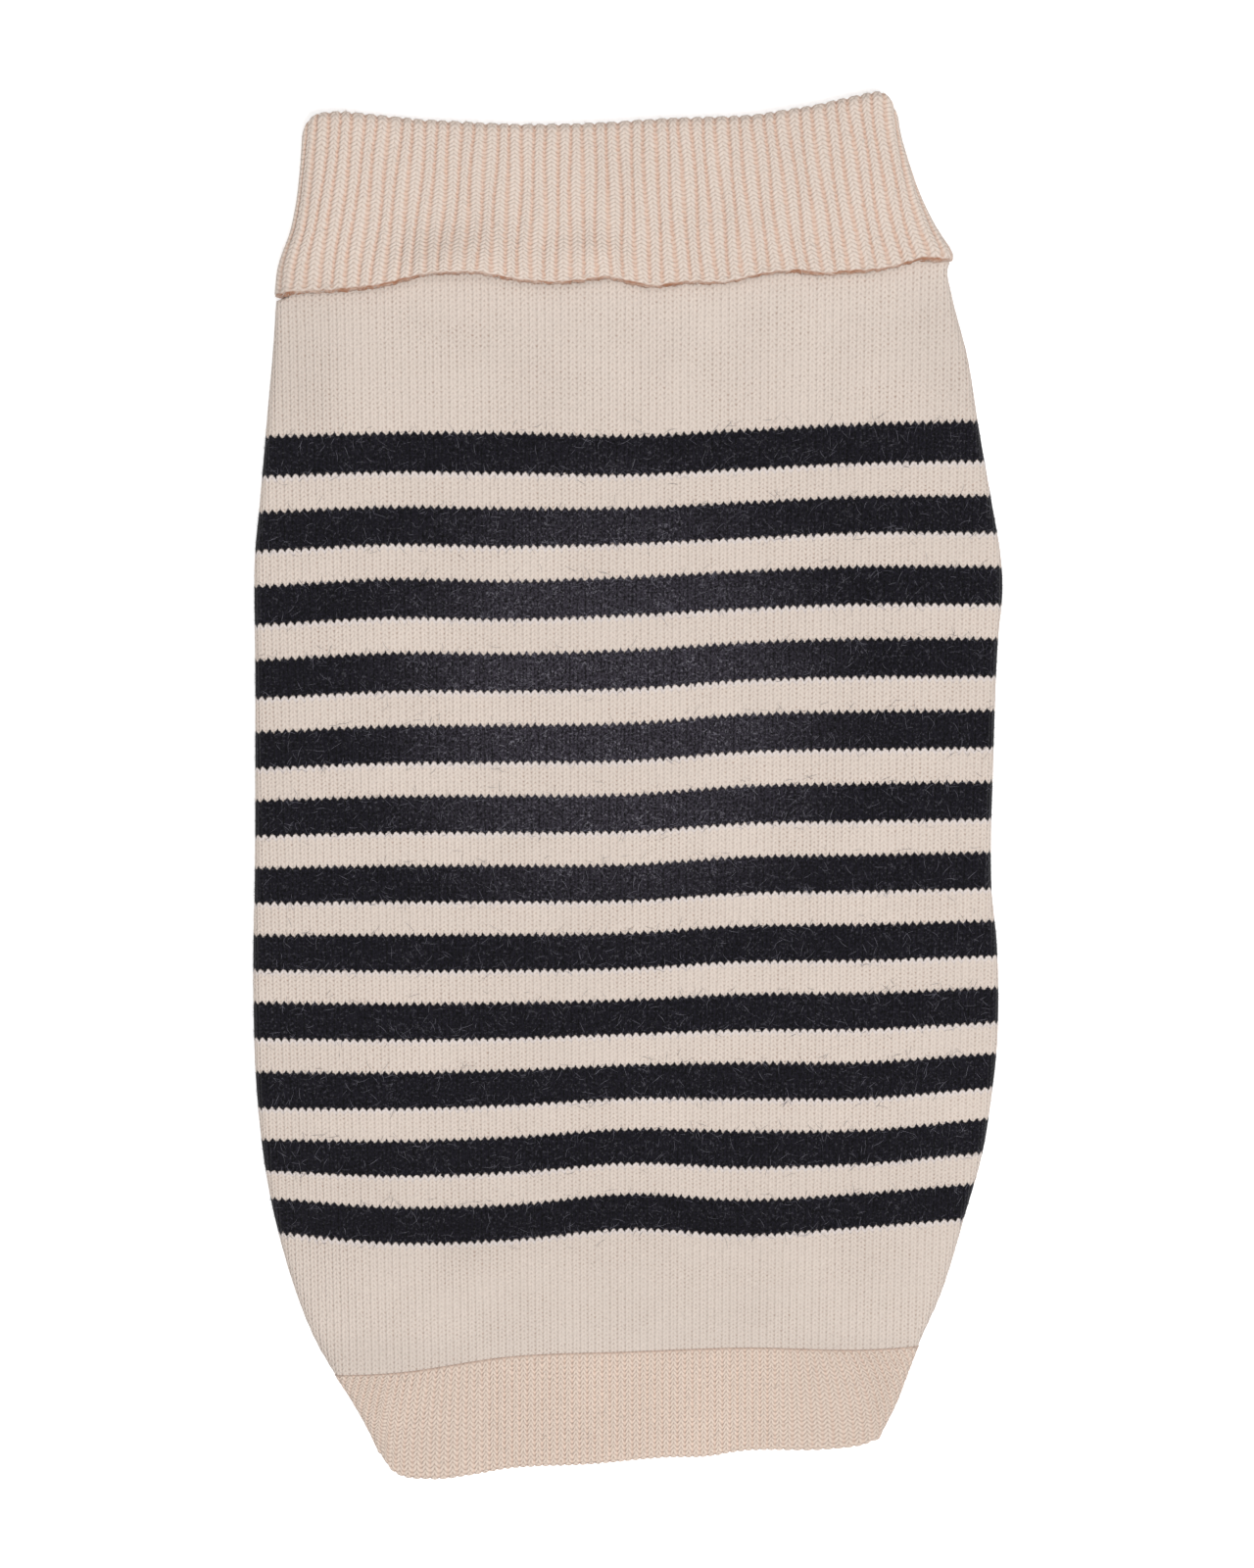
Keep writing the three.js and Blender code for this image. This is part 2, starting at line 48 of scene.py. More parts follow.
# Walls, layers and seams
BODY_WALL = 2.4
RIB_WALL = 2.4
SEAM_GAP = 0.32
END_SEAM_GAP = 0.12
HEM_SEAM_GAP = 0.03
SIDE_SEAM_GAP = 0.5
BODY_HALF = 3.2
CROWN_HIGH = 1.1
CROWN_LONG = 22
COLLAR_HALF = 5.9
LAYER_GAP = 0.66
NECK_LIFT = RIB_WALL + LAYER_GAP
NECK_HALF = COLLAR_HALF - NECK_LIFT
RISE_LONG = 14
DRAW_IN_FROM, DRAW_IN_TO = -0.9, 0.3
EDGE_LIFT_LONG = 16

# Knit: stitch columns (wales) of the back panel, rows (courses) from the neck seam, and stripes
BACK_WALES = 113
LAST_COURSE = 248
NECK_WALE = 2.46
HEM_WALE = 2.28
FIRST_STRIPE = 35
STRIPE_COURSES = 8
STRIPES = 12
STRIPES_END = FIRST_STRIPE + (2 * STRIPES - 1) * STRIPE_COURSES

# Ribs
COLLAR_RIBS = 53
COLLAR_RIBS_AT_TOP = 51
COLLAR_RIBS_AT_EDGE = 52.6
COLLAR_UNDER_RIBS = 49
COLLAR_RIB_HIGH = 0.7
COLLAR_COURSE = 1.46
HEM_RIBS = 79
HEM_UNDER_RIBS = 65
HEM_RIB_WIDE = 2.3
HEM_RIB_HIGH = 0.36
HEM_COURSES = 22
HEM_LEAN_LEFT, HEM_LEAN_RIGHT = 3.6, 7
HEM_LEAN_FROM, HEM_LEAN_TO = 44, 70

# Leg openings and the narrow bands that finish them
LEG_X, LEG_Y, LEG_WIDE, LEG_LONG, LEG_BAND = 45, 84, 28, 33, 7


def table(names, *rows):
    """A table with named columns, as one array for each column."""
    return dict(zip(names.split(), np.array(rows, float).T))


# Garment outline from hem to collar top, seen from above
OUTLINE = table(
    "y left right",
    (-212, -73.0, 71.0),
    (-199, -78.8, 77.0),
    (-188, -85.0, 82.2),
    (-181, -89.6, 84.8),
    (-171, -95.4, 88.6),
    (-155, -101.9, 95.9),
    (-131, -108.8, 103.4),
    (-113, -112.0, 108.6),
    (-95, -113.9, 111.5),
    (-78, -114.8, 113.2),
    (-48, -115.1, 113.0),
    (-32, -114.7, 111.4),
    (10, -114.5, 112.0),
    (45, -114.6, 113.4),
    (61, -114.8, 114.8),
    (73, -114.5, 113.9),
    (85, -113.3, 111.8),
    (109, -111.2, 107.6),
    (133, -109.1, 103.7),
    (146, -108.1, 100.3),
    (151, -107.7, 99.1),
    (158, -107.0, 97.8),
    (160, -106.5, 98.2),
    (162, -105.9, 99.2),
    (164, -105.2, 98.4),
    (169, -103.3, 95.1),
    (178, -101.3, 90.2),
    (188, -100.1, 86.3),
    (202, -99.2, 82.4),
    (206, -99.0, 82.0),
    (212, -97.0, 80.0),
)

# Height in the picture of knitted rows, at seven places across the back
PLACES = np.array([-107, -72, -36, 0, 36, 72, 102], float)
ROWS = table(
    "course a b c d e f g",
    (0, 160.0, 161.6, 163.0, 164.0, 165.4, 167.2, 169.5),
    (35, 107.3, 108.2, 108.2, 107.3, 109.1, 110.9, 111.8),
    (67, 61.7, 63.5, 62.9, 64.1, 65.9, 67.4, 67.4),
    (99, 17.0, 18.5, 18.8, 19.4, 22.1, 23.0, 23.3),
    (131, -24.8, -24.2, -24.2, -23.9, -21.5, -20.9, -20.3),
    (163, -66.2, -66.5, -66.2, -65.3, -63.5, -63.2, -62.0),
    (195, -108.2, -108.5, -107.3, -104.9, -105.5, -105.2, -102.5),
    (219, -136.1, -139.1, -138.2, -134.9, -136.7, -134.3, -131.9),
    (LAST_COURSE, -180.5, -179.6, -174.5, -173.0, -171.8, -172.4, -170.3),
)

# Collar: top fold, wavy free edge and how far that edge stands off the body
COLLAR = table(
    "at top edge off",
    (0.0, 201.9, 149.6, 0.0),
    (0.005, 204.2, 149.7, 0.0),
    (0.014, 205.3, 149.9, 0.0),
    (0.03, 205.9, 150.4, 0.1),
    (0.06, 206.3, 150.6, 0.2),
    (0.09, 205.9, 150.9, 0.4),
    (0.127, 205.2, 151.5, 0.8),
    (0.163, 204.5, 152.6, 0.6),
    (0.194, 203.9, 154.2, 0.4),
    (0.224, 203.6, 155.7, 0.8),
    (0.26, 203.2, 156.0, 1.3),
    (0.301, 202.8, 156.1, 0.8),
    (0.33, 202.6, 155.0, 0.8),
    (0.36, 202.4, 154.0, 1.6),
    (0.4, 202.4, 153.2, 1.9),
    (0.444, 202.5, 153.5, 1.7),
    (0.476, 202.7, 154.5, 0.8),
    (0.498, 202.9, 154.7, 0.4),
    (0.524, 203.1, 153.4, 0.5),
    (0.554, 203.5, 152.3, 0.9),
    (0.585, 203.9, 152.6, 0.8),
    (0.61, 204.2, 153.4, 0.4),
    (0.646, 204.4, 153.3, 0.5),
    (0.68, 204.6, 153.9, 0.7),
    (0.709, 204.8, 155.3, 0.4),
    (0.753, 205.2, 156.7, 0.1),
    (0.775, 205.7, 156.8, 0.2),
    (0.8, 206.5, 156.0, 0.7),
    (0.85, 207.9, 156.4, 0.5),
    (0.9, 209.9, 157.4, 0.5),
    (0.937, 211.4, 159.3, 0.3),
    (0.965, 212.3, 161.0, 0.1),
    (0.982, 212.0, 161.4, 0.0),
    (0.991, 210.6, 161.6, 0.0),
    (1.0, 206.6, 161.7, 0.0),
)
EDGE_LEFT = -107.5
EDGE_WIDE = 206

# Lower edge of the hem band
HEM = table(
    "x bottom",
    (-76, -204.5),
    (-72.5, -209.3),
    (-60.5, -212.0),
    (-48.5, -210.8),
    (-36.5, -208.7),
    (-12.5, -207.5),
    (11.6, -205.4),
    (23.6, -205.1),
    (35.6, -203.3),
    (59.6, -203.0),
    (71.6, -201.6),
    (75.5, -200.2),
)

# Soft folds that lift the back panel: place, turn in degrees, length, width and height
FOLDS = table(
    "x y turn long wide high",
    (18, 136, 55, 40, 9, 0.9),
    (-50, 131, 140, 34, 10, 0.8),
    (64, 116, 70, 50, 12, 0.7),
    (-78, 38, 95, 90, 16, 0.8),
    (70, -20, 87, 105, 18, 0.9),
    (-28, -88, 12, 80, 14, 0.7),
    (30, -140, 171, 66, 12, 0.8),
    (-60, -158, 35, 36, 9, 0.9),
)
MORE_FOLDS = table(
    "x y turn long wide high",
    (-2, 128, 150, 46, 14, 0.6),
    (38, 139, 20, 44, 9, 0.5),
    (-88, 128, 80, 50, 18, 0.6),
    (-22, -160, 78, 30, 20, 0.5),
    (48, -160, 100, 34, 18, 0.6),
    (88, 20, 92, 70, 14, 0.4),
    (-50, -145, 3, 100, 18, 2.0),
    (-46, -154, 131, 34, 8, 1.2),
    (-78, -145, 106, 80, 38, 1.2),
    (-74, 128, 88, 70, 40, 1.0),
    (12, 124, 2, 60, 16, 0.5),
)

# Soft folds of the collar's turned layer, in the same columns
COLLAR_FOLDS = table(
    "x y turn long wide high",
    (-52, 159.5, 6, 42, 19, 4.2),
    (-10, 162, 170, 26, 12, 2.3),
    (-26, 176, 70, 22, 10, 0.6),
    (-86, 181, 100, 34, 16, 0.4),
    (3, 184, 95, 40, 12, 0.4),
    (40, 172, 12, 52, 14, 0.5),
    (74, 181, 70, 40, 15, 0.5),
)


def curve(keys, values, at):
    """Smooth curve through values at rising keys; values may hold one column for each place asked."""
    values = np.asarray(values, float)
    at = np.asarray(at, float)
    if values.ndim == 1:
        values = values[:, None] * np.ones(at.size)
    steps = np.diff(keys)
    secants = np.diff(values, axis=0) / steps[:, None]
    slopes = np.concatenate([secants[:1], (secants[1:] + secants[:-1]) / 2, secants[-1:]])
    flat = at.ravel()
    i = np.clip(np.searchsorted(keys, flat) - 1, 0, len(keys) - 2)
    n = np.arange(flat.size)
    step = steps[i]
    t = (flat - keys[i]) / step
    s = np.clip(t, 0, 1)
    inside = (
        values[i, n] * (1 + 2 * s) * (1 - s) ** 2
        + slopes[i, n] * step * s * (1 - s) ** 2
        + values[i + 1, n] * s * s * (3 - 2 * s)
        + slopes[i + 1, n] * step * s * s * (s - 1)
    )
    return (inside + secants[i, n] * step * (np.clip(t, -0.5, 1.5) - s)).reshape(at.shape)


def ease(start, end, at):
    """Smooth step from 0 at start to 1 at end."""
    t = np.clip((at - start) / (end - start), 0, 1)
    return t * t * (3 - 2 * t)


def mix(a, b, share):
    return a + (b - a) * share


def add_object(name, data):
    """Puts a new object with this mesh, lamp or camera into the scene."""
    made = bpy.data.objects.new(name, data)
    bpy.context.scene.collection.objects.link(made)
    return made


def finished_mesh(name, bm):
    """Turns a bmesh into a mesh and frees it."""
    mesh = bpy.data.meshes.new(name)
    bm.to_mesh(mesh)
    bm.free()
    return mesh


def row_line(course, x):
    """Height in the picture of a knitted row at a place across the body."""
    course, x = np.broadcast_arrays(np.asarray(course, float), np.asarray(x, float))
    heights = [curve(ROWS["course"], ROWS[name], course.ravel()) for name in "abcdefg"]
    return curve(PLACES, np.array(heights), x.ravel()).reshape(x.shape)


def collar_edge(x):
    at = np.clip((x - EDGE_LEFT) / EDGE_WIDE, 0, 1)
    return curve(COLLAR["at"], COLLAR["edge"], at)


def side_at(name, y):
    return np.abs(curve(OUTLINE["y"], OUTLINE[name], y))


def fold_height(folds, x, y):
    """Height that a table of soft folds adds to a cloth."""
    total = np.zeros_like(x)
    for fold in zip(*(folds[name] for name in "x y turn long wide high".split())):
        fx, fy, turn, long, wide, high = fold
        turn = math.radians(turn)
        along = (x - fx) * math.cos(turn) + (y - fy) * math.sin(turn)
        across = (y - fy) * math.cos(turn) - (x - fx) * math.sin(turn)
        total += high * np.exp(-((2 * along / long) ** 2) - (2 * across / wide) ** 2)
    return total


def round_tube(walked, side, half):
    """One side of a flattened tube: where a walk from the top middle round the fold comes to, and its normal."""
    run = side - half
    sign = np.where(walked < 0, -1.0, 1.0)
    turned = np.clip((np.abs(walked) - run) / half, 0, math.pi)
    past = np.maximum(np.abs(walked) - run - math.pi * half, 0)
    x = np.minimum(np.abs(walked), run) + half * np.sin(turned) - past
    return sign * x, sign * np.sin(turned), np.cos(turned)


def fold_walk(side, half):
    """Walk from the top middle to the end of the side fold."""
    return side - half + math.pi * half


def crown_share(inside):
    """Share of the crown's height, at a distance in from where the side fold starts."""
    return 1 - (1 - np.clip(inside / CROWN_LONG, 0, 1)) ** 2


def wale_wide(course):
    return mix(NECK_WALE, HEM_WALE, course / LAST_COURSE)


def body_sides(course, which):
    """Half width and half height of a knitted row on one side, and how far the neck is drawn in there."""
    place = PLACES[0] if which == "left" else PLACES[-1]
    y = row_line(course, place)
    below = y - collar_edge(np.full_like(y, place))
    drawn_in = NECK_LIFT * ease(DRAW_IN_FROM, DRAW_IN_TO, below)
    half = mix(BODY_HALF, NECK_HALF, ease(-RISE_LONG, -SEAM_GAP, below))
    return side_at(which, y) - drawn_in, half, drawn_in


def body_point(course, walked, inward):
    """A point of the body: knitted row, walk round the tube and depth below its outer face."""
    ends = [body_sides(course, which) for which in ("left", "right")]
    side, half, drawn_in = (np.where(walked < 0, a, b) for a, b in zip(*ends))
    fold = fold_walk(side, half)
    reach = wale_wide(course) * BACK_WALES / 2 - fold
    beyond = np.maximum(np.abs(walked) - fold, 0)
    walked = np.sign(walked) * (np.abs(walked) - beyond * 2 * drawn_in / reach)
    x, across, up = round_tube(walked, side, half)
    y = row_line(course, x)
    risen = ease(-RISE_LONG, -SEAM_GAP, y - collar_edge(x))
    low = NECK_LIFT * risen
    middle = 1 - ease(0.8, 1, np.abs(x) / side)
    folds = fold_height(FOLDS, x, y) + fold_height(MORE_FOLDS, x, y)
    soft = CROWN_HIGH * crown_share(side - half - np.abs(x)) + folds * middle
    soft = mix(soft, HEM_RIB_HIGH * 0.45, ease(LAST_COURSE - 16, LAST_COURSE, course))
    high = mix(2 * BODY_HALF, COLLAR_HALF + NECK_HALF, risen) + soft * (1 - risen)
    z = (low + high) / 2 + (high - low) / 2 * up
    return np.stack([x - inward * across, y, z - inward * up], 1)


# A cloth's wall ends in a crisp corner where its faces turn by more than this
SHARP_TURN = math.radians(65)


def slab(across, along):
    """A closed flat slab with a unit square on its outer face, and a wall one unit deep."""
    bm = bmesh.new()
    bmesh.ops.create_grid(bm, x_segments=across, y_segments=along, size=0.5)
    bmesh.ops.translate(bm, verts=bm.verts, vec=(0.5, 0.5, 0))
    bmesh.ops.solidify(bm, geom=bm.faces[:], thickness=1.0)
    bmesh.ops.recalc_face_normals(bm, faces=bm.faces)
    return bm


def rim_faces(bm, axis, value):
    """Faces of a slab that lie wholly on one of its rims."""
    return [f for f in bm.faces if all(abs(v.co[axis] - value) < 1e-5 for v in f.verts)]


def knitted(name, bm, place, closed_round=False, closed_along=False):
    """Puts a slab's points where the cloth has them. place gives points and stitch coordinates."""
    for axis, closes in ((0, closed_round), (1, closed_along)):
        if closes:
            bmesh.ops.delete(bm, geom=rim_faces(bm, axis, 0) + rim_faces(bm, axis, 1), context="FACES_ONLY")
    unit = np.array([v.co for v in bm.verts])
    points, stitches = place(unit[:, 0], unit[:, 1], np.abs(unit[:, 2]))
    points = (points + (*ORIGIN_SHIFT, 0)) * MM
    bm.verts.index_update()
    stitch_map = bm.loops.layers.uv.new("stitches")
    for face in bm.faces:
        face.smooth = True
        for loop in face.loops:
            loop[stitch_map].uv = stitches[loop.vert.index]
    for vert, point in zip(bm.verts, points):
        vert.co = point
    if closed_round or closed_along:
        bmesh.ops.remove_doubles(bm, verts=bm.verts, dist=1e-6)
    for edge in bm.edges:
        edge.smooth = edge.calc_face_angle(0.0) < SHARP_TURN
    if bm.calc_volume(signed=True) < 0:
        bmesh.ops.reverse_faces(bm, faces=bm.faces)
    return add_object(name, finished_mesh(name, bm))


# Back panel: the whole top, both side folds and a strip of the underside up to the side seams
WALE_STEPS = 4
WALE_GROOVE = 0.03
BACK_ROWS = np.concatenate([np.arange(0, 10, 0.5), np.arange(10, 13), np.arange(15, 248, 3), [LAST_COURSE]])


def wale_groove(wale):
    """Depth of the groove between stitch columns, none at a column's middle."""
    return WALE_GROOVE * (1 - np.abs(np.cos(math.pi * wale)) ** 0.7)


def place_back(u, v, w):
    course = np.interp(v, np.linspace(0, 1, len(BACK_ROWS)), BACK_ROWS)
    wale = (u - 0.5) * BACK_WALES
    depth = np.where(w > 0.5, BODY_WALL, wale_groove(wale))
    return body_point(course, wale * wale_wide(course), depth), np.stack([wale, course], 1)


def back_cloth():
    bm = slab(BACK_WALES * WALE_STEPS, len(BACK_ROWS) - 1)
    return knitted("back_cloth", bm, place_back)


# Belly panel: the middle of the underside, with both leg openings
BELLY_ROWS = np.append(BACK_ROWS[:-1:2], LAST_COURSE)


def place_belly(u, v, w):
    course = np.interp(v, np.linspace(0, 1, len(BELLY_ROWS)), BELLY_ROWS)
    reach = wale_wide(course) * BACK_WALES / 2
    sides = []
    for which in ("left", "right"):
        side, half, drawn_in = body_sides(course, which)
        sides.append(side - half + fold_walk(side, half) + 2 * drawn_in - reach - SIDE_SEAM_GAP)
    x = mix(-sides[0], sides[1], u)
    y = row_line(course, x)
    low = NECK_LIFT * ease(-RISE_LONG, -SEAM_GAP, y - collar_edge(x))
    points = np.stack([x, y, low + w * BODY_WALL], 1)
    return points, np.stack([x / wale_wide(course), course], 1)


def belly_cloth():
    belly = knitted("belly_cloth", slab(96, len(BELLY_ROWS) - 1), place_belly)
    cutters = []
    for side in (-1, 1):
        bm = bmesh.new()
        bmesh.ops.create_cone(bm, cap_ends=True, segments=64, radius1=1, radius2=1, depth=12 * MM)
        bmesh.ops.scale(bm, verts=bm.verts, vec=(LEG_WIDE * MM, LEG_LONG * MM, 1))
        place = (side * LEG_X + ORIGIN_SHIFT[0], LEG_Y + ORIGIN_SHIFT[1], 0)
        bmesh.ops.translate(bm, verts=bm.verts, vec=[c * MM for c in place])
        cutter = add_object("leg_cutter", finished_mesh("leg_cutter", bm))
        cutters.append(cutter)
        cut = belly.modifiers.new("leg_opening", "BOOLEAN")
        cut.operation, cut.solver, cut.object = "DIFFERENCE", "EXACT", cutter
    shaped = belly.evaluated_get(bpy.context.evaluated_depsgraph_get())
    mesh = bpy.data.meshes.new_from_object(shaped)
    belly.modifiers.clear()
    belly.data = mesh
    for cutter in cutters:
        bpy.data.objects.remove(cutter)
    return belly


# Ribs: a raised stitch column and a narrow groove beside it
def rib_shape(place):
    """Share of the rib height, with grooves at half numbers."""
    away = np.abs(place - np.round(place))
    return ease(0.49, 0.24, away) * (1 - 0.12 * ease(0.12, 0, away))


def rib_share(up):
    return np.clip((up + 0.8) / 0.8, 0, 1)


def ring_walk(over, walk_over, under, first, last, left, right, half):
    """Walk round a ribbed tube: its ribs, then underneath from the last rib back to the first."""
    whole = [side - half + fold_walk(side, half) for side in (left, right)]
    gone = under * (whole[0] + whole[1] + first - last)
    to_middle = whole[1] - last
    beneath = np.where(gone <= to_middle, last + gone, -(whole[0] - (gone - to_middle)))
    return np.where(over, walk_over, beneath)


# Collar: one ribbed tube standing up inside and turned down over itself outside
TOP_FOLD = RIB_WALL + LAYER_GAP / 2
COLLAR_TOP_STEPS = 7
COLLAR_UNDER_STEPS = 3
STAND_ROWS, FOLD_ROWS, TURNED_ROWS, EDGE_ROWS = 10, 10, 30, 7
STAND_LONG, FOLD_LONG, TURNED_LONG = 45, 8, 52
COLLAR_ROWS = STAND_ROWS + FOLD_ROWS + TURNED_ROWS + EDGE_ROWS
COLLAR_OVER_CELLS = COLLAR_RIBS * COLLAR_TOP_STEPS
COLLAR_CELLS = COLLAR_OVER_CELLS + COLLAR_UNDER_RIBS * COLLAR_UNDER_STEPS
EDGE_BAND_ROW = 39.9
EDGE_TURNED_ROW = 40.1
EDGE_FROM = 0.945
BAND_AT = 0.966
BAND_HIGH = 0.62
END_ROUND = 1.1
CORNER_LONG, CORNER_LEFT, CORNER_RIGHT = 2.8, 0.5, 2.0
EDGE_DROOP = 1.3
SIDE_RIBS = 6


def collar_walk(place, left, right, fall):
    """Walk to a rib of the collar; fewer ribs show at the top fold than at the free edge."""
    quarter = (math.pi / 2 - 1) * COLLAR_HALF
    shown = mix(COLLAR_RIBS_AT_TOP, COLLAR_RIBS_AT_EDGE, fall)
    return mix(-left - quarter, right + quarter, place / shown)


def end_depth(from_end):
    """How far a wall's faces draw together towards its rounded end."""
    near = np.clip(END_ROUND - from_end, 0, END_ROUND)
    return END_ROUND - np.sqrt(END_ROUND**2 - near**2)


def place_collar(u, v, w):
    cell = u * COLLAR_CELLS
    over = cell <= COLLAR_OVER_CELLS
    place = cell / COLLAR_TOP_STEPS
    under = (cell - COLLAR_OVER_CELLS) / (COLLAR_CELLS - COLLAR_OVER_CELLS)
    rib = np.where(over, place, COLLAR_RIBS + under * COLLAR_UNDER_RIBS) - 0.5
    row = v * COLLAR_ROWS
    stand = 1 - np.clip(row / STAND_ROWS, 0, 1)
    turn = math.pi * (1 - np.clip((row - STAND_ROWS) / FOLD_ROWS, 0, 1))
    stops = STAND_ROWS + FOLD_ROWS + np.array([0, TURNED_ROWS, TURNED_ROWS + EDGE_ROWS])
    turned = np.interp(row, stops, [0, EDGE_FROM, 1])

    def ends(at):
        crest = curve(COLLAR["at"], COLLAR["top"], at) - TOP_FOLD - COLLAR_RIB_HIGH * 0.6
        return crest, curve(COLLAR["at"], COLLAR["edge"], at)

    def height(at, x):
        crest, edge = ends(at)
        down = mix(crest, row_line(0, x) + END_SEAM_GAP, stand)
        return np.where(row < STAND_ROWS, down, mix(crest, edge, turned))

    def sides(name, at, place):
        """The tube's own side, and the straighter line that its inner ribs follow."""
        side = side_at(name, height(np.full_like(u, at), np.full_like(u, place)))
        straight = mix(*(side_at(name, end) for end in ends(at)), turned)
        return side, np.where(row > STAND_ROWS + FOLD_ROWS, straight, side)

    left, inner_left = sides("left", 0, PLACES[0])
    right, inner_right = sides("right", 1, PLACES[-1])
    corner = 1 - np.sqrt(1 - np.clip(1 - (1 - turned) * TURNED_LONG / CORNER_LONG, 0, 1) ** 2)
    left, right = left - CORNER_LEFT * corner, right - CORNER_RIGHT * corner

    def walk(spot):
        wander = 0.22 * np.sin(spot * 2.3 + turned * 5) + 0.16 * np.sin(spot * 0.9 - turned * 9)
        wander = wander + 0.13 * np.sin(row * 2.7 + np.round(spot) * 4.1) * (row > STAND_ROWS)
        inner = ease(0, SIDE_RIBS, spot) * ease(COLLAR_RIBS_AT_TOP, COLLAR_RIBS_AT_TOP - SIDE_RIBS, spot) * 0.8
        walked = collar_walk(spot, mix(left, inner_left, inner), mix(right, inner_right, inner), turned)
        return walked + wander * (spot > 0.5) * (spot < COLLAR_RIBS_AT_TOP - 1)

    walked = ring_walk(over, walk(place), under, walk(0), walk(COLLAR_RIBS), left, right, COLLAR_HALF)
    x, across, up = round_tube(walked, np.where(walked < 0, left, right), COLLAR_HALF)
    at = (x + left) / (left + right)
    radius = (TOP_FOLD - RIB_WALL) + RIB_WALL * (1 - w)
    y = height(at, x) + radius * np.sin(turn)
    depth = TOP_FOLD - radius * np.cos(turn)
    band = BAND_HIGH / COLLAR_RIB_HIGH * ease(BAND_AT - 0.016, BAND_AT, turned)
    shape = np.maximum(rib_shape(rib), band)
    share = rib_share(up) * ease(STAND_ROWS + 1, STAND_ROWS + FOLD_ROWS * 0.5, row)
    relief = COLLAR_RIB_HIGH * (share * shape - (1 - share) * (1 - shape)) * (w < 0.5)
    end = end_depth((1 - turned) * TURNED_LONG) * np.where(w > 0.5, -1, 1)
    ragged = 0.14 * np.sin(rib * 5.3) + 0.1 * np.sin(rib * 11.9 + 1) + 0.08 * np.sin(rib * 23.1)
    droop = EDGE_DROOP * ease(0.95, 0.985, at)
    y = y + relief * np.sin(turn) + (ragged - droop) * ease(0.93, 1, turned)
    out = relief * np.cos(turn) - depth - end
    from_edge = y - curve(COLLAR["at"], COLLAR["edge"], at)
    off = curve(COLLAR["at"], COLLAR["off"], at) * (1 - ease(0, EDGE_LIFT_LONG, from_edge))
    off = off + fold_height(COLLAR_FOLDS, x, y) * ease(0, 0.15, turned)
    off = off * np.clip(up, 0, 1) * (row > STAND_ROWS + FOLD_ROWS / 2)
    z = COLLAR_HALF * (1 + up) + out * up + off
    down = FOLD_LONG * (1 - turn / math.pi) + TURNED_LONG * turned - STAND_LONG * stand
    return np.stack([x + out * across, y, z], 1), np.stack([rib, down / COLLAR_COURSE], 1)


def collar_cloth():
    return knitted("collar_cloth", slab(COLLAR_CELLS, COLLAR_ROWS), place_collar, closed_round=True)


# Hem band: one ribbed tube below the body, whose outer ribs lean out towards the lower edge
HEM_TOP_STEPS = 6
HEM_UNDER_STEPS = 3
HEM_ROWS = 24
HEM_OVER_CELLS = HEM_RIBS * HEM_TOP_STEPS
HEM_CELLS = HEM_OVER_CELLS + HEM_UNDER_RIBS * HEM_UNDER_STEPS
HEM_LONG = 33


def hem_spread(place, share):
    """Walk to a rib of the hem at a share of the way down."""
    spot = place * HEM_RIB_WIDE
    lean = np.where(spot < 0, -HEM_LEAN_LEFT, HEM_LEAN_RIGHT)
    return spot + lean * ease(HEM_LEAN_FROM, HEM_LEAN_TO, np.abs(spot)) * (1 - (1 - share) ** 2)


def place_hem(u, v, w):
    cell = u * HEM_CELLS
    over = cell <= HEM_OVER_CELLS
    place = cell / HEM_TOP_STEPS - HEM_RIBS / 2
    under = (cell - HEM_OVER_CELLS) / (HEM_CELLS - HEM_OVER_CELLS)
    rib = np.where(over, place, HEM_RIBS / 2 + under * HEM_UNDER_RIBS)
    share = np.interp(v * HEM_ROWS, [0, HEM_ROWS - 5, HEM_ROWS], [0, EDGE_FROM, 1])

    def height(x):
        bottom = curve(HEM["x"], HEM["bottom"], np.clip(x, HEM["x"][0], HEM["x"][-1]))
        return mix(row_line(LAST_COURSE, x) - HEM_SEAM_GAP, bottom, share)

    left = side_at("left", height(np.full_like(u, PLACES[0])))
    right = side_at("right", height(np.full_like(u, PLACES[-1])))
    first, walked_over, last = (hem_spread(spot, share) for spot in (-HEM_RIBS / 2, place, HEM_RIBS / 2))
    walked = ring_walk(over, walked_over, under, first, last, left, right, BODY_HALF)
    x, across, up = round_tube(walked, np.where(walked < 0, left, right), BODY_HALF)
    shape = rib_shape(rib)
    raised = HEM_RIB_HIGH * shape * rib_share(up) * (w < 0.5)
    sunk = HEM_RIB_HIGH * (1 - shape) * (1 - rib_share(up)) * (w < 0.5)
    end = end_depth((1 - share) * HEM_LONG) * np.where(w > 0.5, -1, 1)
    out = raised - sunk - RIB_WALL * w - end
    z = BODY_HALF * (1 + up) + out * up
    y = height(x) - 0.5 * (shape - 0.5) * ease(0.9, 1, share)
    return np.stack([x + out * across, y, z], 1), np.stack([rib, share * HEM_COURSES], 1)


def hem_cloth():
    return knitted("hem_cloth", slab(HEM_CELLS, HEM_ROWS), place_hem, closed_round=True)


# Bands round the leg openings: narrow ribs running out from a rounded inner edge
LEG_RIBS = 52


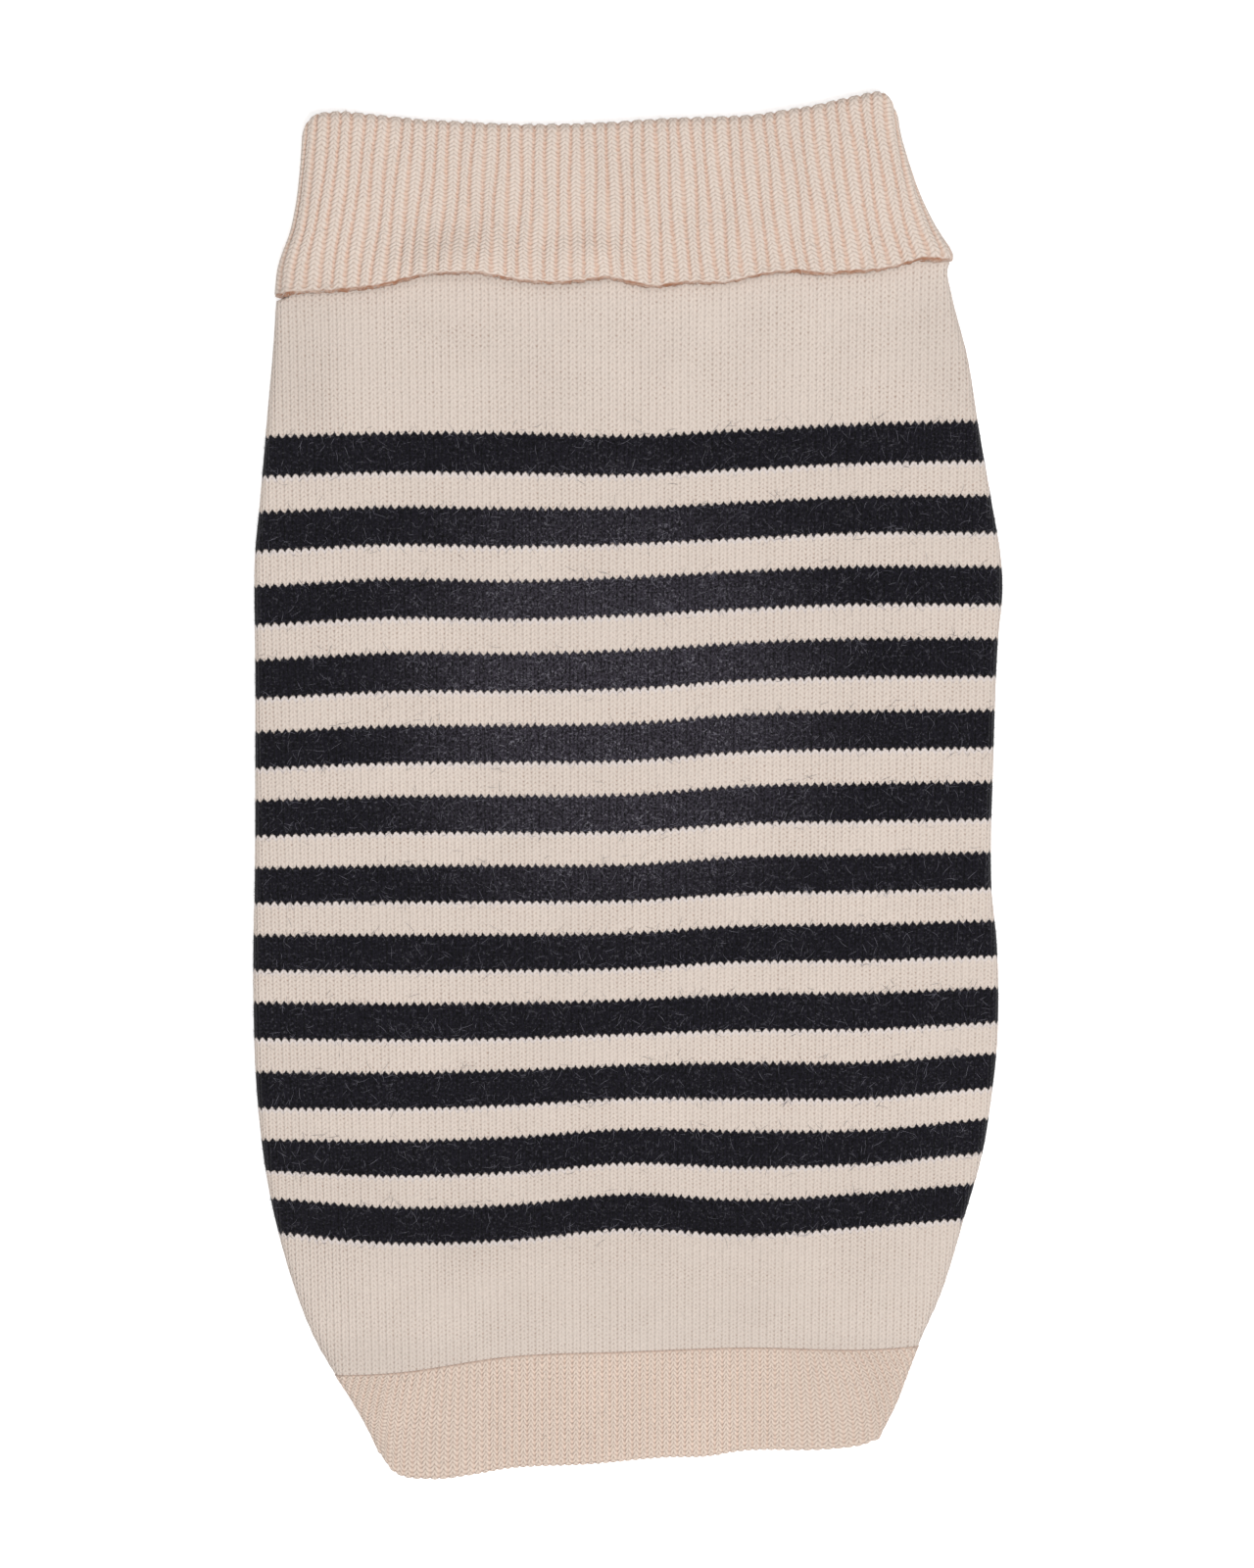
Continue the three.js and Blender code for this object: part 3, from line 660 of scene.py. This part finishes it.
def leg_band_cloth(name, side):
    def place(u, v, w):
        turn = 2 * math.pi * u
        rib = u * LEG_RIBS
        end = ease(0.8, 1, v)
        inward = SEAM_GAP + v * LEG_BAND
        groove = 0.35 * (1 - rib_shape(rib)) * (1 - end) * ease(0, 0.1, v)
        thin = 0.7 * end
        z = np.where(w > 0.5, BODY_WALL - thin - groove, groove + thin)
        x = side * LEG_X + (LEG_WIDE - inward) * np.cos(turn)
        y = LEG_Y + (LEG_LONG - inward) * np.sin(turn)
        return np.stack([x, y, z], 1), np.stack([rib, v * 5], 1)

    return knitted(name, slab(LEG_RIBS * 6, 8), place, closed_round=True)


# Loose fibres: fine closed strips that stand off the yarn, along the stripe edges and the outline
FIBRE_STEPS = 4
FIBRE_THICK = 0.05
chance = np.random.default_rng(11)


def fibre_strips(place, u, v, turn, long, wide, lift, tip):
    """Fibres that start on a cloth at u, v, run at a turn along it and lift towards one tip."""
    rows = 2 * len(u) - 1
    bm = bmesh.new()
    bmesh.ops.create_grid(bm, x_segments=FIBRE_STEPS, y_segments=rows, size=0.5)
    bmesh.ops.translate(bm, verts=bm.verts, vec=(0.5, 0.5, 0))
    between = [f for f in bm.faces if int(f.calc_center_median().y * rows) % 2]
    bmesh.ops.delete(bm, geom=between, context="FACES")
    bmesh.ops.solidify(bm, geom=bm.faces[:], thickness=1.0)
    bmesh.ops.recalc_face_normals(bm, faces=bm.faces)
    unit = np.array([v.co for v in bm.verts])
    i, edge = np.divmod(np.rint(unit[:, 1] * rows).astype(int), 2)
    along, deep = unit[:, 0], np.abs(unit[:, 2])
    flat = np.zeros_like(u)
    origin = place(u, v, flat)[0]
    ways = [place(u + a, v + b, flat)[0] - origin for a, b in ((0.002, 0), (0, 0.002))]
    across, down = (way / np.linalg.norm(way, axis=1, keepdims=True) for way in ways)
    normal = np.cross(down, across)
    normal /= np.linalg.norm(normal, axis=1, keepdims=True)
    heading = across * np.cos(turn)[:, None] + down * np.sin(turn)[:, None]
    aside = np.cross(normal, heading)
    curl = chance.uniform(-0.5, 0.5, len(u))
    run = (along - 0.5) * long[i]
    width = wide[i] * (1 - 0.85 * np.abs(2 * along - 1) ** 3)
    bent = curl[i] * (along - 0.5) ** 2 * long[i] + (edge - 0.5) * width
    high = lift[i] + tip[i] * along**2 - deep * FIBRE_THICK
    shift = heading[i] * run[:, None] + aside[i] * bent[:, None] + normal[i] * high[:, None]
    points = origin[i] + shift + (*ORIGIN_SHIFT, 0)
    points[:, 2] = np.maximum(points[:, 2], 0.1 + (1 - deep) * FIBRE_THICK)
    for vert, point in zip(bm.verts, points * MM):
        vert.co = point
    return bm


def fibre_piece(name, *strips):
    mesh = bpy.data.meshes.new(name)
    whole = bmesh.new()
    for bm in strips:
        bm.to_mesh(mesh)
        bm.free()
        whole.from_mesh(mesh)
    whole.to_mesh(mesh)
    whole.free()
    return add_object(name, mesh)


def back_spot(wale, course):
    """Place on the back panel's slab of a stitch column and row."""
    return wale / BACK_WALES + 0.5, np.interp(course, BACK_ROWS, np.linspace(0, 1, len(BACK_ROWS)))


def lying(place, u, v, long=(1.6, 4.5), wide=(0.04, 0.08)):
    """Fibres that lie on a cloth in all directions, some with one end up."""
    count = len(u)
    turn = chance.uniform(0, 2 * math.pi, count)
    tip = chance.uniform(0, 0.8, count) ** 2
    return fibre_strips(place, u, v, turn, chance.uniform(*long, count), chance.uniform(*wide, count),
                        np.full(count, 0.12), tip)


def standing(place, u, v):
    """Short fibres that stand off a cloth's outline."""
    count = len(u)
    turn = chance.uniform(0, 2 * math.pi, count)
    return fibre_strips(place, u, v, turn, chance.uniform(0.6, 1.8, count), np.full(count, 0.06),
                        np.zeros(count), chance.uniform(0.3, 1.1, count))


def side_wale(course, name):
    """Stitch column at the side fold's outermost line."""
    side, half, _ = body_sides(course, name)
    wale = (side + (math.pi / 2 - 1) * half) / wale_wide(course)
    return -wale if name == "left" else wale


def is_navy(course):
    within = (course - FIRST_STRIPE) % (2 * STRIPE_COURSES)
    return (course > FIRST_STRIPE) & (course < STRIPES_END) & (within < STRIPE_COURSES)


VISIBLE_WALES = 47


def stripe_fibres(count, on_navy):
    """Fibres across the stripe edges, lying on the navy or on the cream side."""
    stripe = chance.integers(0, STRIPES, count) * 2 * STRIPE_COURSES + FIRST_STRIPE
    at_top = chance.random(count) < 0.5
    stray = np.abs(chance.normal(0, 1.1, count)) * (1 if on_navy else -1)
    course = stripe + np.where(at_top, stray, STRIPE_COURSES - stray)
    if on_navy:
        course = np.where(chance.random(count) < 0.5, course, stripe + chance.uniform(0, STRIPE_COURSES, count))
    wale = chance.uniform(-VISIBLE_WALES, VISIBLE_WALES, count)
    return lying(place_back, *back_spot(wale, course))


def outline_spots(count, navy):
    """Places along both side folds of the back panel, on its navy or its cream rows."""
    course = chance.uniform(6, LAST_COURSE - 1, count)
    course = course[is_navy(course) == navy]
    wale = np.where(chance.random(len(course)) < 0.5, side_wale(course, "left"), side_wale(course, "right"))
    return back_spot(wale + chance.normal(0, 0.4, len(course)), course)


def collar_outline(count):
    """Places along the collar's top fold and sides."""
    rib = chance.uniform(0, COLLAR_RIBS_AT_TOP, count)
    crest = np.full(count, (STAND_ROWS + FOLD_ROWS * 0.5) / COLLAR_ROWS)
    edge = chance.uniform(0.3, 0.98, count)
    kind = chance.random(count)
    rib = np.where(kind < 0.2, 0.1, np.where(kind < 0.4, COLLAR_RIBS_AT_TOP - 0.1 + 1.6 * edge, rib))
    return rib * COLLAR_TOP_STEPS / COLLAR_CELLS, np.where(kind < 0.4, edge, crest)


def cream_fibre_strips():
    ribs = chance.uniform(0.01, 0.7, 420), chance.uniform(0.3, 0.95, 420)
    hem_ribs = chance.uniform(0.01, 0.7, 260), chance.uniform(0.05, 0.95, 260)
    hem_edge = chance.uniform(0.01, 0.7, 160), np.full(160, 0.995)
    return [
        standing(place_back, *outline_spots(420, False)),
        standing(place_collar, *collar_outline(420)),
        standing(place_collar, chance.uniform(0.0, 0.71, 420), chance.uniform(0.975, 1.0, 420)),
        lying(place_collar, *ribs, long=(1.5, 3.5)),
        lying(place_hem, *hem_ribs, long=(1.5, 3.5)),
        standing(place_hem, *hem_edge),
    ]


def lint_fibre_strips():
    return [stripe_fibres(2200, True)]


def navy_fibre_strips():
    return [stripe_fibres(1100, False), standing(place_back, *outline_spots(700, True))]


# Node trees
class Nodes:
    """Adds nodes to a tree and joins them; an input is a value or another node's output."""

    def __init__(self, tree):
        self.tree = tree

    def put(self, kind, inputs=None, **settings):
        node = self.tree.nodes.new(kind)
        for name, value in settings.items():
            setattr(node, name, value)
        for name, value in (inputs or {}).items():
            if isinstance(value, bpy.types.NodeSocket):
                self.tree.links.new(value, node.inputs[name])
            else:
                node.inputs[name].default_value = value
        return node

    def math(self, operation, a, b=0.0, clamp=False):
        inputs = {0: a, 1: b}
        return self.put("ShaderNodeMath", inputs, operation=operation, use_clamp=clamp).outputs[0]

    def offset(self, value, noise, reach):
        """Moves a value to and fro by a noise."""
        return self.math("ADD", value, self.math("MULTIPLY", self.math("SUBTRACT", noise, 0.5), reach))

    def step(self, value, start, end):
        """Smooth step between two values."""
        inputs = {"Value": value, "From Min": start, "From Max": end}
        node = self.put("ShaderNodeMapRange", inputs, interpolation_type="SMOOTHSTEP")
        return node.outputs["Result"]

    def noise(self, vector, scale, detail=2.0, rough=0.5):
        inputs = {"Vector": vector, "Scale": scale, "Detail": detail, "Roughness": rough}
        return self.put("ShaderNodeTexNoise", inputs).outputs["Fac"]

    def blend(self, share, a, b):
        node = self.put("ShaderNodeMix", data_type="RGBA")
        for index, value in ((0, share), (6, a), (7, b)):
            if isinstance(value, bpy.types.NodeSocket):
                self.tree.links.new(value, node.inputs[index])
            else:
                node.inputs[index].default_value = value
        return node.outputs[2]


def group(name, inputs, outputs):
    tree = bpy.data.node_groups.new(name, "ShaderNodeTree")
    for socket, kind, value in inputs:
        made = tree.interface.new_socket(socket, in_out="INPUT", socket_type=kind)
        if value is not None:
            made.default_value = value
    for socket, kind in outputs:
        tree.interface.new_socket(socket, in_out="OUTPUT", socket_type=kind)
    nodes = Nodes(tree)
    nodes.start, nodes.end = nodes.put("NodeGroupInput"), nodes.put("NodeGroupOutput")
    return tree, nodes


FLOAT, VECTOR = "NodeSocketFloat", "NodeSocketVector"


def knit_start(name, outputs):
    """Starts a knit's group: stitch column and row with a little wander, fuzz, and the drift of tone with painted
    shade in it.
    """
    inputs = [("Stitches", VECTOR, None), ("Object", VECTOR, None)]
    outputs = [(output, FLOAT) for output in (*outputs, "Tone and shade", "Fuzz")]
    tree, n = group(name, inputs, outputs)
    stitches = n.start.outputs["Stitches"]
    place = n.put("ShaderNodeSeparateXYZ", {0: stitches})
    column = n.offset(place.outputs[0], n.noise(stitches, 1.6), 0.2)
    row = n.offset(place.outputs[1], n.noise(stitches, 0.9, 1.0), 0.5)
    fuzz = n.noise(n.start.outputs["Object"], 1500.0, 3.0, 0.65)
    tree.links.new(fuzz, n.end.inputs["Fuzz"])
    spot = n.put("ShaderNodeSeparateXYZ", {0: n.start.outputs["Object"]})
    aside, along = n.math("ABSOLUTE", spot.outputs[0]), spot.outputs[1]
    # painted shade: darker on the left side, towards the bottom, at both ends of the hem and at both ends of the yoke
    left_side = n.math("MULTIPLY", n.step(spot.outputs[0], -0.085, -0.112), 0.5)
    painted_shade = n.math("ADD", left_side, n.step(along, -0.095, -0.15))
    hem_ends = n.math("MULTIPLY", n.step(aside, 0.038, 0.056), n.step(along, -0.166, -0.174))
    yoke_ends = n.math("MULTIPLY", n.step(aside, 0.078, 0.1), n.step(along, 0.1, 0.125))
    yoke_ends = n.math("MULTIPLY", yoke_ends, n.step(along, 0.162, 0.15))
    painted_shade = n.math("ADD", painted_shade, n.math("ADD", hem_ends, n.math("MULTIPLY", yoke_ends, 1.4)))
    tone = n.math("SUBTRACT", n.noise(n.start.outputs["Object"], 38.0, 3.0), n.math("MULTIPLY", painted_shade, 0.4))
    tree.links.new(tone, n.end.inputs["Tone and shade"])
    return tree, n, n.end, place.outputs[1], column, row, fuzz


def stitch_legs(n, row, away, slant):
    """Thickness of a slanting leg of a stitch, none where it meets the next row's."""
    slanted = n.math("SUBTRACT", row, n.math("MULTIPLY", away, slant))
    return n.math("SINE", n.math("MULTIPLY", n.math("FRACT", slanted), math.pi))


# middle of the painted sheen highlight on the back
SHEEN_PLACE = (-0.005, 0.026, 0.008)


def plain_knit_group():
    """Plain knit on stitch coordinates: two legs a stitch, with painted shade in dots between the legs and the
    columns.
    """
    outputs = ["Height", "Gap shade", "Navy", "Below navy", "Lint", "Sheen patch"]
    tree, n, end, course, column, row, fuzz = knit_start("plain_knit", outputs)
    # 0 at a column's middle, 1 between two columns
    away = n.math("MULTIPLY", n.math("ABSOLUTE", n.math("SUBTRACT", column, n.math("ROUND", column))), 2.0)
    leg = stitch_legs(n, row, away, 0.8)
    stitches = n.start.outputs["Stitches"]
    uneven = n.math("ADD", n.math("MULTIPLY", n.noise(stitches, 1.1, 3.0, 0.8), 3.4), -1.05)
    patchy = n.step(n.noise(stitches, 0.11, 3.0, 0.6), 0.3, 0.7)
    uneven = n.math("MULTIPLY", uneven, n.math("ADD", n.math("MULTIPLY", patchy, 0.9), 0.5))
    dot = n.math("MULTIPLY", n.math("POWER", n.math("SUBTRACT", 1.0, leg), 1.6), uneven)
    edge = n.step(away, 0.6, 1.0)
    middle = n.step(away, 0.36, 0.0)
    at_edge = n.math("MULTIPLY", edge, n.math("ADD", n.math("MULTIPLY", dot, 0.9), 0.1))
    at_middle = n.math("MULTIPLY", middle, n.math("ADD", n.math("MULTIPLY", dot, 0.65), 0.05))
    gap_shade = n.math("ADD", n.math("ADD", at_edge, at_middle), n.math("MULTIPLY", dot, 0.1))
    tree.links.new(n.math("MINIMUM", gap_shade, 1.0), end.inputs["Gap shade"])
    sunk = n.math("ADD", n.math("MULTIPLY", edge, 0.6), n.math("MULTIPLY", middle, 0.35))
    height = n.math("SUBTRACT", n.math("MULTIPLY", n.math("POWER", leg, 0.7), 0.4), sunk)
    tree.links.new(n.math("ADD", height, n.math("MULTIPLY", fuzz, 0.4)), end.inputs["Height"])
    # stripes: narrow points at the top edge, rounded bumps at the lower one
    down = n.offset(n.math("SUBTRACT", course, FIRST_STRIPE), fuzz, 1.1)
    period = 2 * STRIPE_COURSES
    within = n.math("SUBTRACT", n.math("MODULO", n.math("ADD", down, 4 + period), period), 4)
    teeth = n.math("SUBTRACT", n.math("POWER", away, 0.7), 0.6)
    bumps = n.math("ADD", n.math("MULTIPLY", n.math("POWER", away, 1.7), 0.85), STRIPE_COURSES + 0.2)
    below_top = n.step(n.math("SUBTRACT", within, teeth), -0.25, 0.25)
    past_low = n.math("SUBTRACT", within, bumps)
    above_low = n.step(past_low, 0.25, -0.25)
    first = n.math("GREATER_THAN", down, -3.0)
    last = n.math("LESS_THAN", down, float(STRIPES_END - FIRST_STRIPE + 4))
    striped = n.math("MULTIPLY", first, last)
    navy = n.math("MULTIPLY", n.math("MULTIPLY", below_top, above_low), striped)
    tree.links.new(navy, end.inputs["Navy"])
    near = n.math("MULTIPLY", n.step(past_low, -0.1, 0.2), n.step(past_low, 1.3, 0.5))
    tree.links.new(n.math("MULTIPLY", near, striped), end.inputs["Below navy"])
    # light lint, thicker in some places; and a painted sheen highlight over the middle of the back, where the navy is
    # lighter and its lint thicker
    where = n.start.outputs["Object"]
    lint = n.step(n.noise(where, 1250.0, 2.0, 0.75), 0.54, 0.68)
    patches = n.step(n.noise(where, 130.0, 3.0, 0.6), 0.3, 0.7)
    tree.links.new(n.math("MULTIPLY", lint, n.math("ADD", n.math("MULTIPLY", patches, 0.7), 0.3)), end.inputs["Lint"])
    from_middle = n.put("ShaderNodeVectorMath", {0: where, 1: SHEEN_PLACE}, operation="DISTANCE")
    tree.links.new(n.step(from_middle.outputs["Value"], 0.088, 0.026), end.inputs["Sheen patch"])
    return tree


def rib_knit_group():
    """Ribs on stitch coordinates: a raised column of stitches with painted shade between its legs, a soft groove with
    painted shade in it, and painted shade along the free edge and along the sewn edge.
    """
    tree, n, end, down, column, row, fuzz = knit_start("rib_knit", ["Height", "Gap shade", "Groove shade", "Edge and seam shade"])
    away = n.math("ABSOLUTE", n.math("SUBTRACT", column, n.math("ROUND", column)))
    leg = stitch_legs(n, row, away, 1.9)
    groove = n.math("MULTIPLY", n.step(away, 0.23, 0.45), n.step(down, EDGE_BAND_ROW + 0.6, EDGE_BAND_ROW))
    middle = n.step(away, 0.11, 0.0)
    stitch = n.math("MULTIPLY", n.math("POWER", leg, 0.7), 0.55)
    lower = n.math("ADD", n.math("MULTIPLY", groove, 0.1), n.math("MULTIPLY", middle, 0.25))
    height = n.math("SUBTRACT", stitch, lower)
    tree.links.new(n.math("ADD", height, n.math("MULTIPLY", fuzz, 0.5)), end.inputs["Height"])
    # painted shade in dots between the legs of a stitch
    dot = n.math("MULTIPLY", n.math("POWER", n.math("SUBTRACT", 1.0, leg), 1.3), 0.35)
    between_legs = n.math("MULTIPLY", middle, n.math("ADD", dot, 0.1))
    tree.links.new(n.math("ADD", dot, between_legs), end.inputs["Gap shade"])
    uneven = n.math("ADD", n.math("MULTIPLY", n.noise(n.start.outputs["Stitches"], 0.8, 3.0, 0.7), 1.3), 0.15)
    # painted shade in the grooves between ribs, beaded by the stitches
    groove_shade = n.math("MULTIPLY", groove, n.math("ADD", n.math("MULTIPLY", dot, 1.2), 0.75))
    tree.links.new(n.math("MULTIPLY", groove_shade, uneven, clamp=True), end.inputs["Groove shade"])
    # painted shadow line under the collar's free edge, darker in some places than others; and painted shade along the
    # sewn edge
    drift = n.noise(n.start.outputs["Stitches"], 0.22, 4.0, 0.7)
    turned = n.step(n.offset(down, drift, 1.6), EDGE_TURNED_ROW, EDGE_TURNED_ROW + 0.5)
    strength = n.math("ADD", n.math("MULTIPLY", n.step(drift, 0.38, 0.62), 0.6), 0.4)
    seam_shade = n.math("MULTIPLY", n.step(down, 0.6, 0.1), n.math("MULTIPLY", uneven, 0.8))
    edge = n.math("ADD", n.math("MULTIPLY", turned, strength), seam_shade, clamp=True)
    tree.links.new(edge, end.inputs["Edge and seam shade"])
    return tree


ROOM_LIGHT = 1.1


def colour(red, green, blue):
    """Paint that shows as a screen colour from 0 to 255 in this room's light."""
    linear = (((c / 255 + 0.055) / 1.055) ** 2.4 if c > 10 else c / 3294 for c in (red, green, blue))
    return (*(c / ROOM_LIGHT for c in linear), 1.0)


def striped_colour(n, knit):
    # painted shade in the gaps between the stitches
    cream = n.blend(knit["Gap shade"], colour(229, 215, 204), colour(184, 156, 140))
    cream = n.blend(n.math("MULTIPLY", knit["Below navy"], 0.34), cream, colour(226, 222, 229))
    # the navy is lighter on the stitch legs and darker between them: painted highlight and shade from the stitch
    # relief, mixed with flecks of tone from the fuzz
    speckled = n.math("ADD", knit["Fuzz"], n.math("MULTIPLY", knit["Height"], 0.22))
    relief = n.step(speckled, 0.38, 0.72)
    navy_beside_sheen = n.blend(relief, colour(2, 2, 4), colour(26, 24, 33))
    navy_in_sheen = n.blend(relief, colour(11, 9, 13), colour(60, 56, 65))
    # painted sheen highlight: the navy and its lint are lighter over the middle of the back
    navy = n.blend(knit["Sheen patch"], navy_beside_sheen, navy_in_sheen)
    lint = n.math("MULTIPLY", knit["Lint"], n.math("ADD", n.math("MULTIPLY", knit["Sheen patch"], 0.25), 0.13))
    navy = n.blend(lint, navy, colour(170, 167, 178))
    return n.blend(knit["Navy"], cream, navy)


def collar_colour(n, knit):
    # painted shade in the gaps between the stitches
    yarn = n.blend(knit["Gap shade"], colour(235, 219, 207), colour(204, 180, 163))
    # painted shade in the grooves between the ribs
    yarn = n.blend(knit["Groove shade"], yarn, colour(222, 187, 166))
    # painted shadow line under the free edge, and painted shade along the seam
    return n.blend(knit["Edge and seam shade"], yarn, colour(166, 112, 80))


def hem_colour(n, knit):
    # painted shade in the gaps between the stitches
    yarn = n.blend(knit["Gap shade"], colour(243, 224, 209), colour(190, 158, 141))
    # painted shade in the grooves between the ribs
    yarn = n.blend(n.math("MULTIPLY", knit["Groove shade"], 0.5), yarn, colour(222, 186, 166))
    # painted shade along the seam
    return n.blend(knit["Edge and seam shade"], yarn, colour(188, 158, 142))


def fibre_material(name, dark, light):
    """Fine fibres that are lighter and darker from place to place."""
    material = bpy.data.materials.new(name)
    material.use_nodes = True
    n = Nodes(material.node_tree)
    shader = material.node_tree.nodes["Principled BSDF"]
    spread = n.noise(n.put("ShaderNodeTexCoord").outputs["Object"], 400.0)
    material.node_tree.links.new(n.blend(spread, colour(*dark), colour(*light)), shader.inputs["Base Color"])
    shader.inputs["Roughness"].default_value = 0.9
    shader.inputs["Specular IOR Level"].default_value = 0.1
    return material


def cloth_material(name, knit, yarn_colour, bump):
    """Matt yarn, whose colour drifts softly and is flecked with fuzz."""
    material = bpy.data.materials.new(name)
    material.use_nodes = True
    n = Nodes(material.node_tree)
    shader = material.node_tree.nodes["Principled BSDF"]
    where = n.put("ShaderNodeTexCoord")
    stitches = n.put("ShaderNodeUVMap", uv_map="stitches")
    inputs = {"Stitches": stitches.outputs[0], "Object": where.outputs["Object"]}
    cloth = n.put("ShaderNodeGroup", node_tree=knit)
    for socket, value in inputs.items():
        material.node_tree.links.new(value, cloth.inputs[socket])
    yarn = yarn_colour(n, cloth.outputs)
    drift = n.put("ShaderNodeHueSaturation", {"Color": yarn, "Hue": 0.5, "Saturation": 1.0})
    fleck = n.offset(1.0, cloth.outputs["Fuzz"], 0.32)
    tone = n.offset(fleck, cloth.outputs["Tone and shade"], 0.1)
    material.node_tree.links.new(tone, drift.inputs["Value"])
    rough = n.math("ADD", n.math("MULTIPLY", cloth.outputs["Fuzz"], 0.12), 0.86)
    raised = n.put("ShaderNodeBump", {"Height": cloth.outputs["Height"], "Distance": bump, "Strength": 0.8})
    for socket, value in (("Base Color", drift.outputs[0]), ("Roughness", rough), ("Normal", raised.outputs[0])):
        material.node_tree.links.new(value, shader.inputs[socket])
    shader.inputs["Specular IOR Level"].default_value = 0.1
    shader.inputs["Sheen Weight"].default_value = 0.08
    shader.inputs["Sheen Roughness"].default_value = 0.6
    return material


def dress(piece, material, node):
    """Gives a cloth its yarn, hangs it on the root, and hides the solid that it stands for."""
    piece.data.materials.clear()
    piece.data.materials.append(material)
    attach(piece, "root")
    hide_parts(node)


striped_yarn = cloth_material("striped_yarn", plain_knit_group(), striped_colour, 0.0005)
rib_knit = rib_knit_group()
collar_yarn = cloth_material("collar_yarn", rib_knit, collar_colour, 0.0005)
hem_yarn = cloth_material("hem_yarn", rib_knit, hem_colour, 0.0007)

back = back_cloth()
belly = belly_cloth()
collar = collar_cloth()
hem = hem_cloth()
leg_left = leg_band_cloth("leg_band_left_cloth", -1)
leg_right = leg_band_cloth("leg_band_right_cloth", 1)

for name, strips, dark, light in (
    ("cream_fibres", cream_fibre_strips(), (198, 188, 180), (232, 224, 216)),
    ("lint_fibres", lint_fibre_strips(), (70, 68, 80), (150, 148, 158)),
    ("navy_fibres", navy_fibre_strips(), (52, 50, 60), (110, 106, 114)),
):
    fibres = fibre_piece(name, *strips)
    fibres.data.materials.append(fibre_material(name, dark, light))
    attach(fibres, "root")

dress(back, striped_yarn, "back_panel")
dress(belly, striped_yarn, "belly_panel")
dress(collar, collar_yarn, "collar")
dress(hem, hem_yarn, "hem_band")
dress(leg_left, hem_yarn, "leg_band_left")
dress(leg_right, hem_yarn, "leg_band_right")


# Floor, light and camera
FLOOR_GREY, FLOOR_GLOW = 0.62, 0.66


def make_floor():
    bm = bmesh.new()
    bmesh.ops.create_grid(bm, x_segments=1, y_segments=1, size=3.0)
    bmesh.ops.translate(bm, verts=bm.verts, vec=(0, 0, -0.0004))
    floor = add_object("pale_floor", finished_mesh("pale_floor", bm))
    paint = bpy.data.materials.new("pale_floor_paint")
    paint.use_nodes = True
    shader = paint.node_tree.nodes["Principled BSDF"]
    shader.inputs["Base Color"].default_value = (*[FLOOR_GREY] * 3, 1)
    shader.inputs["Roughness"].default_value = 0.9
    shader.inputs["Emission Color"].default_value = (1, 1, 1, 1)
    shader.inputs["Emission Strength"].default_value = FLOOR_GLOW
    floor.data.materials.append(paint)


def soft_lamp(name, place, size, power):
    data = bpy.data.lights.new(name, "AREA")
    data.shape, data.size, data.energy = "DISK", size, power
    lamp = add_object(name, data)
    lamp.location = place
    aim = -lamp.location
    lamp.rotation_mode = "QUATERNION"
    lamp.rotation_quaternion = aim.to_track_quat("-Z", "Y")


make_floor()
soft_lamp("window_light", (0.4, -0.65, 2.85), 0.9, 72)
soft_lamp("fill_light", (-0.3, 0.7, 2.8), 1.0, 12)
world = bpy.data.worlds.new("soft_room")
bpy.context.scene.world = world
world.use_nodes = True
world.node_tree.nodes["Background"].inputs["Color"].default_value = (1, 1, 1, 1)
world.node_tree.nodes["Background"].inputs["Strength"].default_value = 0.2
bpy.context.scene.view_settings.view_transform = "Standard"

FRAME_TALL = 0.480
CAMERA_HIGH = 2.260
CLOTH_TOP = 0.007
PICTURE_MIDDLE = (-0.00027, 0.00042)
camera_data = bpy.data.cameras.new("overhead_camera")
camera_data.sensor_width = 36
camera_data.lens = 36 * CAMERA_HIGH / FRAME_TALL
camera = add_object("overhead_camera", camera_data)
camera.location = (*PICTURE_MIDDLE, CAMERA_HIGH + CLOTH_TOP)
bpy.context.scene.camera = camera

bpy.context.view_layer.update()
